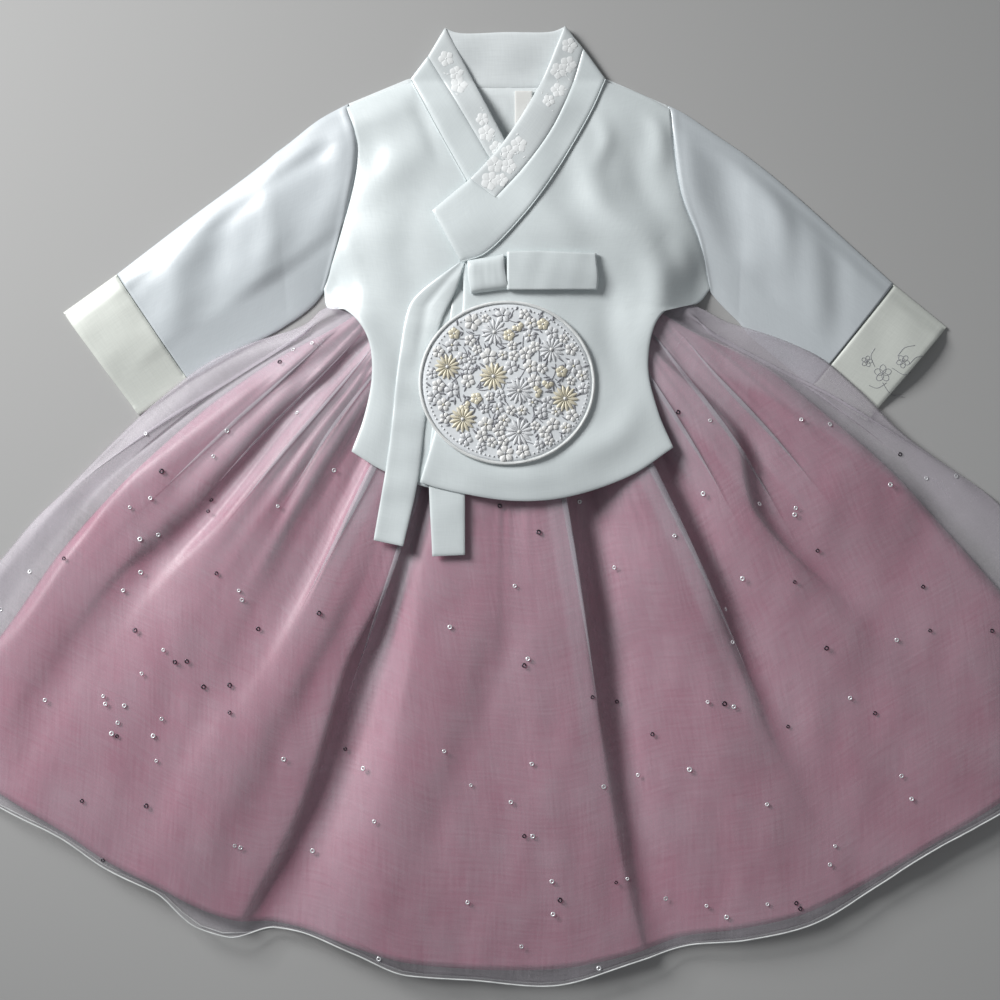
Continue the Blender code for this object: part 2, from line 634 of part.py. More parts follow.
def make_jacket():
    panel("jacket_back", back_outline(), on_floor(0.0), SATIN_WALL, "satin_inside", spacing=60.0)
    panel("jacket_front_under", under_front_outline(), front_height, SATIN_WALL, "satin")
    panel("jacket_front_over", over_front_outline(), over_height, SATIN_WALL, "satin")


def shifted(points, dx, dy):
    return [(x + dx, y + dy) for x, y in points]


def make_collar():
    """The band behind the neck, the two front bands, and the brocade strip along each."""
    back = outline(
        ((-70.0, 316.0), (-58.0, 338.0), LEFT_PEAK), curve([(-36.0, 355.5), (2.0, 356.0), (36.0, 356.5)], 5),
        (RIGHT_PEAK, (59.0, 343.0), (73.5, 316.0)),
    )[::-1]
    panel("collar_back", back, on_floor(0.0), FRONT_EDGE_HEIGHT - SEAM_GAP, "satin_inside", 60.0)

    over_band = outline(
        ((75.0, 321.0),), curve(OVER_SEAM, 13)[1:], COLLAR_SQUARE_END[1:],
        curve(OVER_STRIP_EDGE[::-1], 11),
    )[::-1]
    panel("collar_over_band", over_band, on_over(OVER_COLLAR_LEVEL), BAND_WALL, "satin", BAND_MESH)

    strip_edge = beside(curve(OVER_STRIP_EDGE[::-1], 11), SEAM_GAP)
    strip_end = beside(np.array(((-7.0, 229.5), (-25.5, 244.0))), -SEAM_GAP)
    strip_edge[0] += strip_end[0] - (-7.0, 229.5)
    over_strip = outline(strip_edge, RIGHT_NECK_EDGE[:-1], strip_end[1:])
    panel("collar_over_strip", over_strip, on_over(OVER_COLLAR_LEVEL), BAND_WALL, "brocade", BAND_MESH)

    under_edge = curve(UNDER_STRIP_EDGE, 5)
    under_strip = outline(under_edge, ((-3.0, 250.0), (4.0, 262.0)), LEFT_NECK_EDGE[::-1])
    panel("collar_under_strip", under_strip, on_front(UNDER_COLLAR_LEVEL), BAND_WALL, "brocade", BAND_MESH)

    under_band = outline(
        UNDER_SEAM, ((-20.0, 228.0), (-4.0, 249.0)), beside(under_edge, -SEAM_GAP)[::-1],
    )
    panel("collar_under_band", under_band, on_front(UNDER_COLLAR_LEVEL), BAND_WALL, "satin", BAND_MESH)


def ellipse(grow, count):
    turns = np.linspace(0.0, 2 * math.pi, count, endpoint=False)
    ax, ay = MEDALLION_HALF_AXES
    return np.column_stack([MEDALLION_CENTRE[0] + (ax + grow) * np.cos(turns),
                            MEDALLION_CENTRE[1] + (ay + grow) * np.sin(turns)])


def make_medallion():
    """The embroidered round on the front, and the cord sewn round it."""
    panel("medallion", ellipse(0.0, 36), on_over(OVER_COLLAR_LEVEL), BAND_WALL, "embroidery", BAND_MESH)
    line = ellipse(PIPING_RADIUS + SEAM_GAP, 44)
    height = over_height(line[:, 0], line[:, 1]) + OVER_COLLAR_LEVEL + PIPING_RADIUS
    cord = bpy.data.curves.new("medallion_piping", "CURVE")
    cord.dimensions = "3D"
    cord.bevel_depth = PIPING_RADIUS * MM
    cord.bevel_resolution = 1
    spline = cord.splines.new("POLY")
    spline.points.add(len(line) - 1)
    for point, (x, y), z in zip(spline.points, line, height):
        point.co = (x * MM, y * MM, z * MM, 1.0)
    spline.use_cyclic_u = True
    cord.materials.append(material("cord"))
    bpy.context.collection.objects.link(bpy.data.objects.new("medallion_piping", cord))


def folded_loop(name, corners, level, height):
    """A ribbon folded back on itself: two leaves joined by a bend at their right end."""
    (x0, y1), (x1, _), _, (_, y0) = corners
    bend = height / 2
    leaf = np.linspace(x0, x1 - bend, 4)
    turns = np.radians((-45.0, 0.0, 45.0))
    arc = np.column_stack([x1 - bend + bend * np.cos(turns), bend + bend * np.sin(turns)])
    side = np.vstack([
        np.column_stack([leaf, np.zeros(4)]),
        arc,
        np.column_stack([leaf[::-1], np.full(4, height)]),
        np.column_stack([leaf, np.full(4, height - SATIN_WALL)]),
        [(x1 - SATIN_WALL, bend)],
        np.column_stack([leaf[::-1], np.full(4, SATIN_WALL)]),
    ])
    points = [(x, y, z + float(over_height(x, y)) + level) for y in (y0, y1) for x, z in side]
    count = len(side)
    ring = list(range(count))
    faces = [[k, k + count, (k + 1) % count + count, (k + 1) % count] for k in ring]
    solid(name, points, [*faces, ring, [k + count for k in ring[::-1]]], "satin")


def make_ties():
    """The bow's knot and loop, and the two ribbon ends hanging from it."""
    panel("tie_knot", outline(KNOT)[::-1], on_over(BOW_LEVEL), KNOT_HEIGHT, "satin", BAND_MESH)
    folded_loop("tie_loop", LOOP, BOW_LEVEL, LOOP_HEIGHT)
    long_tie = outline(curve(LONG_TIE_LEFT, 12), curve(LONG_TIE_RIGHT, 12))
    panel("tie_long", long_tie, long_tie_height, SATIN_WALL, "satin", BAND_MESH)
    panel("tie_short", outline(SHORT_TIE), on_front(SHORT_TIE_LEVEL), ORGANZA_WALL, "satin", BAND_MESH)


def long_tie_height(x, y):
    """The long end comes down from the bow onto the under front, and runs on over the skirt."""
    lift = np.interp(y, (140.0, 168.0), (LONG_TIE_LEVEL, WRAP_LEVEL + BOW_LEVEL))
    return front_height(x, y) + lift


def make_label():
    """A small blank label sewn inside the back of the neck."""
    panel("size_label", outline(LABEL), on_floor(SATIN_WALL + SEAM_GAP), ORGANZA_WALL, "label", 30.0)


def main():
    for thing in list(bpy.data.objects):
        bpy.data.objects.remove(thing, do_unlink=True)
    make_skirt()
    make_waistband()
    make_jacket()
    make_sleeve("left", LEFT_SLEEVE)
    make_sleeve("right", RIGHT_SLEEVE)
    make_collar()
    make_medallion()
    make_ties()
    make_label()


main()
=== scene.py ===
"""Baby girl's hanbok laid flat: the cloth, threads and light of its finished look.

Left and right are as seen from above, with the collar at +Y.  Tables are in millimetres, in the
frame's own axes.  The skirt fans out from one point, so it is worked out in angle (0 straight down
the skirt, negative to the left) and radius about that point.
"""

import math

import bpy
import numpy as np
from bpy.props import FloatProperty, FloatVectorProperty, IntProperty, PointerProperty
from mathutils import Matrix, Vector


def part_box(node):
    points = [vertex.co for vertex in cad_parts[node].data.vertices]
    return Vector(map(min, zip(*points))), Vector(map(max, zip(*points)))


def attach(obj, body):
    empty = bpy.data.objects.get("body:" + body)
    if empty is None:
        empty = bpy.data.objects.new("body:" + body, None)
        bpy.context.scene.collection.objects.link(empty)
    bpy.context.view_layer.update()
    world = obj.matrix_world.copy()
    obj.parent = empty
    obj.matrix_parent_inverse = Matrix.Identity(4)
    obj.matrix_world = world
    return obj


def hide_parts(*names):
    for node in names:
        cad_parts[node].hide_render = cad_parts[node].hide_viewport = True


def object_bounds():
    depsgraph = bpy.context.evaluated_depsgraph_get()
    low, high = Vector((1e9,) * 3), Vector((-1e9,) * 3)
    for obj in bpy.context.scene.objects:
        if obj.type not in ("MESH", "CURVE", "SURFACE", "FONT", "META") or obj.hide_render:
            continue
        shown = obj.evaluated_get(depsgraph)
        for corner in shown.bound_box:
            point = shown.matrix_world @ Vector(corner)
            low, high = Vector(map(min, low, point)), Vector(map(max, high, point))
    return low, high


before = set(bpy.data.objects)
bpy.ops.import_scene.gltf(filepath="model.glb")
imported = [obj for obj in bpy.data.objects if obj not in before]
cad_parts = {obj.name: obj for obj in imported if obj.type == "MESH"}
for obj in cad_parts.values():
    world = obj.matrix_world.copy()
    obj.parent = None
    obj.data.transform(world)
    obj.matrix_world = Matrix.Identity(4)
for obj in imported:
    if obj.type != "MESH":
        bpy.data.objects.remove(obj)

bl_info = {
    "name": "Hanbok laid flat",
    "version": (1, 0, 0),
    "blender": (4, 5, 0),
    "location": "3D View > Sidebar > Hanbok",
    "description": "Builds the cloth, embroidery and light of a baby's hanbok round its packed frame",
    "category": "Object",
}

MM = 0.001
CAD_LOW, CAD_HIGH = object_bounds()
BODY = "root"

# ---- Skirt, in millimetres and degrees ----
FAN_CENTRE = (2.0, 254.0)
WAIST_Y = 165.0
WAIST_RADIUS = FAN_CENTRE[1] - WAIST_Y
HEM_RADIUS = 603.0

# Share of the way from waist to hem; height the skirt rests at over the jacket's back and sleeves;
# angle of the lining's two edges; angle of the overlay's two edges.
SKIRT_EDGES = np.array([
    # way   rest  lining        overlay
    (0.00, 3.4, -44.0, 44.0, -47.0, 47.0),
    (0.08, 3.4, -46.5, 47.0, -54.6, 56.4),
    (0.17, 3.4, -50.3, 51.6, -57.4, 59.0),
    (0.22, 3.4, -51.0, 52.5, -57.8, 59.4),
    (0.30, 3.4, -51.4, 52.3, -57.3, 58.7),
    (0.42, 3.4, -51.0, 51.9, -55.9, 57.0),
    (0.60, 0.0, -49.6, 50.3, -53.3, 55.6),
    (0.80, 0.0, -47.2, 48.6, -51.0, 53.0),
    (1.00, 0.0, -46.3, 46.9, -49.6, 49.3),
])
HEM = np.array([
    # angle  overlay  lining
    (-50.0, 640.0, 630.0), (-44.0, 626.0, 617.0), (-38.0, 613.0, 605.0), (-33.0, 605.0, 600.5),
    (-30.0, 607.0, 602.0), (-26.0, 605.0, 601.0), (-22.0, 616.5, 603.0), (-20.0, 615.0, 602.0),
    (-17.0, 597.5, 593.5), (-15.0, 595.0, 592.0), (-11.0, 601.5, 597.0), (-7.0, 611.0, 602.0),
    (-3.0, 610.5, 602.5), (3.0, 615.25, 603.0), (9.0, 604.5, 598.0), (13.0, 600.0, 593.0),
    (17.0, 607.0, 598.0), (22.0, 612.5, 603.0), (27.0, 607.0, 601.0), (31.0, 604.0, 600.0),
    (38.0, 611.0, 604.0), (44.0, 624.0, 616.0), (50.0, 640.0, 630.0),
])

# The front's folds, left to right.  Each row is one line down the skirt: its angle at the last five
# radii, and how high it stands there; what it does at the first two radii follows from the third.
# A high line and a low one at nearly the same angle are the two sides of a fold's edge, which hangs
# over where the low one is the further back.
FOLD_RADII = (WAIST_RADIUS, 150.0, 230.0, 310.0, 400.0, 490.0, 605.0)
FOLDS = np.array([
    # angle at 230, 310, 400, 490, 605           height at 230, 310, 400, 490, 605
    (-50.2, -50.6, -48.7, -46.5, -45.5, 5.5, 6.0, 6.0, 5.0, 3.0),
    (-48.6, -48.8, -47.4, -45.4, -44.4, 10.0, 11.0, 10.0, 8.5, 5.5),
    (-46.2, -46.0, -46.0, -44.3, -43.2, 8.0, 9.5, 10.5, 10.0, 6.5),
    (-43.6, -43.4, -44.1, -43.2, -42.2, 11.0, 12.0, 11.5, 9.5, 6.0),
    (-42.4, -41.6, -43.2, -42.0, -41.2, 3.0, 1.5, 2.0, 3.0, 2.5),
    (-40.4, -39.8, -40.8, -40.2, -39.2, 2.5, 0.8, 1.5, 2.5, 2.5),
    (-38.8, -38.8, -39.4, -38.8, -38.0, 13.0, 15.0, 11.0, 9.0, 6.0),
    (-37.4, -37.4, -37.4, -37.2, -36.6, 14.5, 16.5, 13.5, 10.5, 7.0),
    (-36.5, -36.4, -35.8, -35.6, -35.0, 11.0, 14.0, 12.8, 10.5, 7.0),
    (-35.3, -34.8, -34.4, -34.0, -33.5, 14.5, 16.0, 14.5, 11.5, 8.0),
    (-34.0, -33.0, -32.6, -32.0, -31.6, 10.5, 13.0, 14.0, 11.0, 7.5),
    (-32.3, -31.8, -31.0, -30.4, -30.2, 14.0, 15.5, 14.5, 12.0, 8.0),
    (-30.5, -30.6, -29.4, -29.0, -28.8, 9.0, 11.0, 12.5, 11.0, 8.0),
    (-28.2, -28.4, -28.0, -28.2, -28.0, 8.0, 9.0, 11.5, 12.0, 8.5),
    (-25.4, -25.4, -26.3, -27.4, -27.2, 7.5, 8.5, 12.5, 14.5, 9.5),
    (-24.2, -24.3, -25.0, -26.2, -26.0, 16.0, 17.0, 16.5, 16.0, 10.0),
    (-21.0, -21.4, -22.6, -24.2, -24.4, 17.5, 18.5, 18.5, 17.0, 10.5),
    (-18.6, -19.0, -20.6, -21.4, -22.0, 14.0, 14.5, 14.5, 13.0, 9.0),
    (-15.6, -15.7, -17.9, -17.8, -19.5, 12.5, 13.5, 13.0, 11.0, 6.5),
    (-15.7, -15.8, -18.0, -17.8, -19.2, 3.0, 3.0, 3.0, 3.5, 3.5),
    (-15.0, -15.2, -16.6, -16.5, -17.9, 0.6, 0.5, 0.5, 1.2, 2.0),
    (-14.0, -14.6, -14.2, -14.7, -16.3, 0.6, 0.5, 0.6, 1.5, 2.5),
    (-12.9, -13.3, -12.4, -13.0, -14.4, 9.0, 10.0, 10.5, 9.5, 6.5),
    (-9.6, -10.2, -11.0, -11.4, -12.2, 16.5, 17.5, 17.5, 15.5, 10.0),
    (-4.4, -4.6, -7.2, -9.6, -9.2, 19.0, 19.5, 19.5, 18.0, 11.0),
    (-1.4, -1.6, -3.2, -5.4, -5.2, 15.5, 16.0, 15.5, 14.5, 10.0),
    (1.2, 0.4, -0.4, -1.0, -1.0, 13.5, 14.5, 14.5, 14.0, 9.5),
    (4.8, 4.6, 4.4, 4.0, 3.5, 18.5, 18.5, 17.0, 15.0, 10.0),
    (8.2, 8.2, 8.0, 7.8, 7.5, 18.5, 18.5, 17.0, 14.0, 9.5),
    (9.9, 9.9, 9.5, 9.4, 9.8, 16.0, 16.5, 15.0, 12.0, 8.0),
    (9.8, 9.5, 9.2, 9.4, 10.2, 3.0, 3.0, 3.5, 5.0, 5.5),
    (11.2, 10.8, 10.5, 10.6, 11.4, 0.6, 0.5, 0.8, 2.5, 3.5),
    (14.4, 13.4, 12.2, 12.0, 12.8, 0.8, 0.8, 1.5, 3.5, 4.5),
    (16.8, 15.2, 14.0, 13.2, 14.6, 7.0, 6.5, 6.5, 7.0, 6.5),
    (19.6, 18.4, 17.2, 16.4, 17.4, 12.0, 12.0, 11.0, 10.0, 8.0),
    (23.4, 23.0, 22.0, 21.4, 21.5, 18.0, 18.0, 16.0, 13.5, 9.5),
    (25.7, 25.7, 24.9, 24.4, 25.0, 15.5, 15.5, 12.5, 10.5, 8.0),
    (25.6, 25.5, 25.0, 25.2, 26.0, 3.5, 3.5, 6.0, 8.5, 7.5),
    (27.2, 27.0, 26.8, 27.2, 28.0, 1.0, 1.8, 4.5, 8.0, 7.5),
    (29.4, 29.6, 29.6, 29.8, 30.4, 4.5, 6.5, 8.5, 10.0, 9.0),
    (31.2, 31.6, 32.2, 32.6, 33.0, 10.5, 12.0, 12.0, 9.5, 9.0),
    (37.6, 34.0, 35.4, 36.0, 36.0, 15.5, 16.0, 14.5, 9.5, 9.5),
    (40.4, 35.5, 37.2, 38.0, 38.2, 14.0, 14.5, 12.0, 8.5, 8.5),
    (40.4, 35.5, 38.0, 39.0, 39.4, 4.5, 4.0, 7.0, 8.0, 8.0),
    (41.8, 38.8, 40.6, 41.0, 41.0, 3.0, 3.0, 5.5, 9.0, 7.5),
    (43.6, 43.0, 43.0, 42.8, 42.4, 10.5, 10.5, 9.5, 11.0, 7.5),
    (46.8, 46.6, 45.0, 44.6, 43.8, 12.0, 13.0, 10.0, 11.5, 7.5),
    (49.2, 49.4, 47.6, 46.6, 45.0, 11.5, 11.0, 8.5, 8.5, 5.5),
    (51.2, 51.2, 49.6, 48.0, 46.2, 6.0, 6.0, 5.0, 4.5, 3.0),
])
OPEN_FOLDS = (15, 41)  # rows of the deep open folds of the middle; those outside soften down the skirt
FOLD_HEIGHT = 1.05  # every fold's height times this
WAIST_NARROWING = 0.86  # a fold's angle at the waist, as a share of its angle at 230
NEXT_NARROWING = 0.94  # the same at the second radius
OUTER_SOFTNESS, MIDDLE_SOFTNESS = 0.85, 0.12  # how far folds even out toward the hem
LINING_LEVEL = 3.4  # the front's edges over where the skirt rests
OVERLAY_GAP = 1.2
ROOM_FOR_OVERLAY = 1.9
OVERLAY_COLUMNS = 430
PRESSED_OVER = 4.0  # height below the jacket over which the folds are pressed down
GATHERED_HEIGHT = 7.0  # height of the front over the back at the waist

# Soft pleats of the overlay that run down from the waist and flatten out.
PLEATS = np.array([
    # radius and angle where it starts, half way, where it ends, width in mm
    (150.0, -53.0, 260.0, -54.0, 460.0, -53.2, 3.6),
    (150.0, -50.0, 240.0, -51.6, 400.0, -51.8, 3.2),
    (150.0, -45.6, 250.0, -46.8, 420.0, -46.6, 3.4),
    (150.0, -41.0, 260.0, -42.4, 380.0, -42.0, 3.0),
    (150.0, -36.4, 260.0, -38.0, 400.0, -38.2, 3.4),
    (150.0, -31.4, 240.0, -33.4, 360.0, -33.0, 3.0),
    (150.0, -23.0, 290.0, -24.4, 460.0, -25.6, 4.0),
    (150.0, -14.0, 300.0, -15.8, 580.0, -18.0, 3.2),
    (150.0, 9.4, 300.0, 9.6, 560.0, 9.2, 3.2),
    (150.0, 25.0, 310.0, 25.6, 560.0, 24.8, 3.6),
    (150.0, 33.6, 240.0, 33.4, 360.0, 32.0, 3.0),
    (150.0, 40.0, 240.0, 39.4, 400.0, 36.0, 3.4),
    (150.0, 45.2, 240.0, 44.6, 380.0, 42.8, 3.2),
    (150.0, 50.0, 240.0, 52.8, 420.0, 53.6, 3.4),
    (150.0, 53.0, 250.0, 55.6, 470.0, 56.0, 3.6),
])
PLEAT_TURN = 2.3  # how far a pleat turns back, in its own widths
PLEAT_PART = 0.5  # how far its layers stand apart
LINE_COVER = 0.16  # how crowded the yarns are on a pleat's line
DOUBLED_WIDTH = 17.0  # how far the cloth doubled in a pleat reaches, toward the skirt's middle
DOUBLED_COVER = 0.62  # how crowded the doubled cloth is
CROWDED_COVER = 0.15  # how much more of the light the organza's yarns stop where it is crowded
GATHER_REACH, GATHER_FADE = 0.8, 90.0  # crowding at the waist, and how far down it fades
CLOSEST_HEM_STEP = 0.3

# ---- Jacket ----
# Height of the jacket's front, under its cloth, down its middle.
FRONT_PROFILE = np.array([
    # y      height
    (-60.0, 26.6), (10.0, 26.6), (60.0, 25.2), (130.0, 21.5), (165.0, 18.6), (200.0, 18.2),
    (240.0, 12.5), (280.0, 9.0), (310.0, 6.6),
])
FRONT_EDGE_HEIGHT = 1.5
ARMHOLE_HEIGHT = 5.8
SHOULDER_ROLL = 22.0
ARMPIT_ROLL = 22.0
ARMPITS = ((-136.5, 163.0), (155.0, 163.0))
WRAP_LEVEL = 3.0
WRAP_FROM_X, WRAP_TO_X = 15.0, 80.0
FRONT_WIDTHS = np.array([
    # y     middle  half width
    (100.0, 4.0, 400.0), (130.0, 4.0, 200.0), (148.0, 5.0, 152.0), (163.0, 9.0, 147.0),
    (178.0, 11.0, 143.0), (219.0, 9.5, 129.0), (272.0, 7.5, 119.0), (303.0, 2.0, 123.0),
])
SHOULDER_LINE = ((-119.0, 299.5), (-70.0, 319.0), (74.0, 319.0), (124.0, 298.0))
SATIN_WALL = 1.2
BAND_WALL = 1.6
UNDER_LEVEL = 1.6  # under collar and short tie, above the under front's under face
LONG_TIE_LEVEL = 1.8
OVER_LEVEL = 1.9  # over collar and round, above the over front's under face
BOW_LEVEL = 2.1

LEFT_ARMHOLE = ((-119.0, 299.5), (-111.0, 271.5), (-119.0, 219.0), (-131.0, 178.0), (-136.2, 163.0))
RIGHT_ARMHOLE = ((124.0, 298.0), (126.0, 276.0), (133.0, 232.0), (145.0, 202.0), (154.5, 163.0))
LEFT_VENT = ((-136.2, 163.0), (-133.0, 148.0), (-121.0, 147.0), (-109.0, 137.0), (-101.0, 121.5),
             (-99.0, 96.0), (-105.0, 65.0), (-114.0, 40.0))
RIGHT_VENT = ((154.5, 163.0), (145.0, 152.0), (124.5, 148.5), (112.5, 136.5), (106.5, 103.5),
              (114.0, 69.0), (125.0, 43.0))
OVER_HEM = ((-63.0, 17.0), (-46.0, 12.0), (4.0, 3.5), (45.0, 6.0), (94.0, 22.5), (125.0, 43.0))
OVER_EDGE = ((-63.0, 17.0), (-52.0, 54.0), (-38.0, 110.0), (-31.5, 145.0), (-31.0, 180.0))
UNDER_HEM = ((-114.0, 40.0), (-91.0, 26.0), (-60.0, 14.0), (-20.0, 8.0), (18.0, 7.0))
OVER_SEAM = ((75.0, 321.0), (66.0, 300.0), (52.5, 275.0), (36.0, 248.0), (14.0, 218.0),
             (-16.0, 188.0), (-33.0, 182.0))
UNDER_SEAM = ((-70.5, 321.0), (-49.0, 281.0), (-28.0, 243.0))
LEFT_PEAK, RIGHT_PEAK, NECK_POINT = (-45.0, 359.0), (45.0, 360.0), (0.0, 273.0)
OVER_STRIP_EDGE = ((59.0, 343.0), (51.0, 316.5), (36.0, 283.5), (16.0, 255.0), (-7.0, 229.5))
UNDER_STRIP_EDGE = ((-58.0, 337.5), (-34.0, 298.0), (-10.5, 258.0))
SQUARE_END = ((-33.0, 182.0), (-54.0, 220.0), (-25.5, 244.0), (-7.0, 229.5))

CREASE_HEIGHT = 1.25  # every crease's height times this
# Soft creases of the fronts: three points along each, its half width and its height.
FRONT_CREASES = (
    # x0, y0, x1, y1, x2, y2, width, height
    (-128.0, 226.0, -122.0, 185.0, -104.0, 120.0, 13.0, 3.4),
    (-104.0, 232.0, -86.0, 252.0, -64.0, 268.0, 15.0, 2.0),
    (-62.0, 240.0, -74.0, 200.0, -68.0, 150.0, 13.0, -1.4),
    (-104.0, 284.0, -98.0, 264.0, -98.0, 244.0, 10.0, -1.0),
    (-70.0, 306.0, -60.0, 286.0, -50.0, 262.0, 6.0, -1.2),
    (-100.0, 130.0, -88.0, 90.0, -96.0, 50.0, 12.0, 1.4),
    (58.0, 268.0, 74.0, 224.0, 108.0, 196.0, 12.0, 3.2),
    (108.0, 196.0, 116.0, 160.0, 104.0, 118.0, 12.0, 2.8),
    (112.0, 292.0, 116.0, 278.0, 118.0, 258.0, 8.0, 1.8),
    (96.0, 268.0, 104.0, 236.0, 128.0, 208.0, 12.0, -2.6),
    (80.0, 160.0, 78.0, 128.0, 88.0, 96.0, 12.0, -2.2),
    (100.0, 78.0, 84.0, 52.0, 46.0, 34.0, 12.0, 2.0),
    (20.0, 232.0, 40.0, 212.0, 52.0, 196.0, 12.0, 1.6),
    (70.0, 292.0, 76.0, 276.0, 70.0, 256.0, 7.0, 1.4),
    (128.0, 196.0, 138.0, 182.0, 142.0, 168.0, 8.0, 1.4),
    (-40.0, 36.0, 0.0, 20.0, 44.0, 22.0, 9.0, 1.0),
)
SLEEVE_CREASES = (
    (-140.0, 286.0, -150.0, 266.0, -172.0, 250.0, 9.0, -2.0),
    (-172.0, 252.0, -210.0, 224.0, -218.0, 150.0, 14.0, -2.6),
    (-136.0, 282.0, -134.0, 240.0, -150.0, 196.0, 10.0, 2.4),
    (-178.0, 236.0, -176.0, 196.0, -192.0, 160.0, 12.0, 2.6),
    (-150.0, 190.0, -160.0, 172.0, -176.0, 160.0, 12.0, 1.8),
    (-226.0, 208.0, -246.0, 180.0, -246.0, 140.0, 12.0, 1.8),
    (-262.0, 190.0, -280.0, 168.0, -262.0, 130.0, 12.0, -1.6),
    (160.0, 272.0, 170.0, 232.0, 176.0, 188.0, 12.0, -3.0),
    (140.0, 280.0, 146.0, 240.0, 158.0, 206.0, 8.0, 1.8),
    (196.0, 244.0, 208.0, 214.0, 212.0, 176.0, 11.0, 2.6),
    (186.0, 172.0, 200.0, 146.0, 214.0, 128.0, 12.0, -1.8),
    (228.0, 216.0, 232.0, 178.0, 236.0, 140.0, 12.0, 1.8),
    (252.0, 192.0, 250.0, 160.0, 250.0, 130.0, 10.0, -1.4),
)

# Share of the way from a sleeve's top edge to its underarm edge, and the height of its upper face
# there as a share of its full height: at the armhole, and from a third of its length on.
SLEEVE_PROFILE = np.array([
    (0.00, 0.20, 0.20), (0.05, 0.50, 0.42), (0.14, 0.92, 0.85), (0.28, 1.00, 1.00),
    (0.46, 1.00, 0.98), (0.62, 1.00, 0.80), (0.74, 0.92, 0.56), (0.87, 0.60, 0.34), (1.00, 0.20, 0.18),
])
SLEEVE_LENGTH, CUFF_WIDTH = 190.0, 49
SLEEVE_MIDDLE = 0.8  # height at which a sleeve's two faces meet
SLEEVE_LEAST = 0.9  # least height of its upper face
SLEEVE_EDGE = 0.03  # share of its width over which each edge is rounded
ARMHOLE_REACH = 0.3  # share of its length over which it takes the armhole's line
SEAM_DEPTH = 2.2  # how far the seams pull the upper face down
SLEEVE_HEIGHTS = np.array([(0.0, 7.2), (0.3, 9.2), (0.7, 9.0), (1.0, 8.0)])
SLEEVES = {
    "left": {
        "top": ((-120.5, 302.5), (-148.0, 288.0), (-179.0, 260.0), (-243.0, 212.0), (-292.5, 174.0)),
        "under": ((-137.5, 162.0), (-147.0, 150.0), (-165.0, 135.0), (-200.0, 116.0), (-238.5, 94.0)),
        "armhole": LEFT_ARMHOLE, "outward": -1.0, "cuff_end": ((-333.0, 145.0), (-276.0, 67.5)),
    },
    "right": {
        "top": ((125.5, 301.0), (137.0, 295.5), (191.0, 256.5), (217.0, 235.0), (293.0, 166.5)),
        "under": ((155.8, 162.0), (172.5, 142.5), (184.0, 128.0), (204.0, 111.0), (231.0, 89.0)),
        "armhole": RIGHT_ARMHOLE, "outward": 1.0, "cuff_end": ((333.0, 134.0), (273.0, 63.0)),
    },
}

LONG_TIE_LEFT = ((-34.0, 181.0), (-63.0, 159.0), (-71.0, 149.0), (-79.0, 107.0), (-86.0, 43.0),
                 (-97.5, -26.0))
LONG_TIE_RIGHT = ((-30.5, 180.0), (-37.0, 160.0), (-48.0, 136.5), (-59.5, 64.0), (-65.5, 16.0),
                  (-76.0, -30.5))
SHORT_TIE_LEFT = ((-38.0, 164.0), (-46.0, 100.0), (-56.0, 40.0), (-54.0, -38.0))
SHORT_TIE_RIGHT = ((-24.0, 155.0), (-30.0, 60.0), (-30.0, 20.0), (-30.0, -37.0))
KNOT_HEIGHT = 5.0
LOOP_HEIGHT = 3.4
ROUND_SPAN = 62.0  # half width of the round, for sizes given in mm
THIN_STITCH = 0.22  # half width of the cuff's stitches
SEQUINS_BELOW_Y, SEQUIN_LEAST_UP, DARK_REFLECTION_SEQUIN_EVERY = 150.0, 0.45, 3


# ---- Lines and surfaces ----

def linear(hex_colour):
    """An sRGB hex colour as linear red, green and blue."""
    channels = [int(hex_colour[i:i + 2], 16) / 255 for i in (1, 3, 5)]
    return tuple(c / 12.92 if c <= 0.04045 else ((c + 0.055) / 1.055) ** 2.4 for c in channels)


def through(points, segment, share):
    """Centripetal Catmull-Rom through points (..., K, D), at a share of the way along segments.

    Each stretch between two points is the blend of three straight lines through four neighbours,
    with knots spaced by the square root of the distance, so close points make no loops.
    """
    points = np.asarray(points, float)
    ends = np.concatenate([2 * points[..., :1, :] - points[..., 1:2, :], points,
                           2 * points[..., -1:, :] - points[..., -2:-1, :]], axis=-2)
    p = [np.take(ends, segment + k, axis=-2) for k in range(4)]
    gap = [np.sqrt(np.linalg.norm(p[k + 1] - p[k], axis=-1, keepdims=True)) + 1e-4 for k in range(3)]
    t0 = np.zeros_like(gap[0])
    t1, t2, t3 = gap[0], gap[0] + gap[1], gap[0] + gap[1] + gap[2]
    t = t1 + np.asarray(share)[..., None] * (t2 - t1)

    def between(a, b, ta, tb):
        """The straight line from a at ta to b at tb, at t."""
        return ((tb - t) * a + (t - ta) * b) / (tb - ta)

    a1, a2, a3 = between(p[0], p[1], t0, t1), between(p[1], p[2], t1, t2), between(p[2], p[3], t2, t3)
    b1, b2 = between(a1, a2, t0, t2), between(a2, a3, t1, t3)
    return between(b1, b2, t1, t2)


def curve(points, count):
    """Points at even steps of length along the smooth curve through the given ones."""
    points = np.asarray(points, float)
    at = np.linspace(0.0, len(points) - 1.0, 40 * len(points))
    segment = np.minimum(at.astype(int), len(points) - 2)
    return respaced(through(points, segment, at - segment), count)


def respaced(line, count):
    """The line again, with that many points at even steps of its length."""
    line = np.asarray(line, float)
    along = np.concatenate([[0.0], np.cumsum(np.linalg.norm(np.diff(line, axis=0), axis=1))])
    at = np.linspace(0.0, along[-1], count)
    return np.column_stack([np.interp(at, along, line[:, k]) for k in range(line.shape[1])])


def joined(*stretches):
    """Stretches of points end to end, each starting where the last one ended."""
    return np.vstack([stretches[0], *[s[1:] for s in stretches[1:]]])


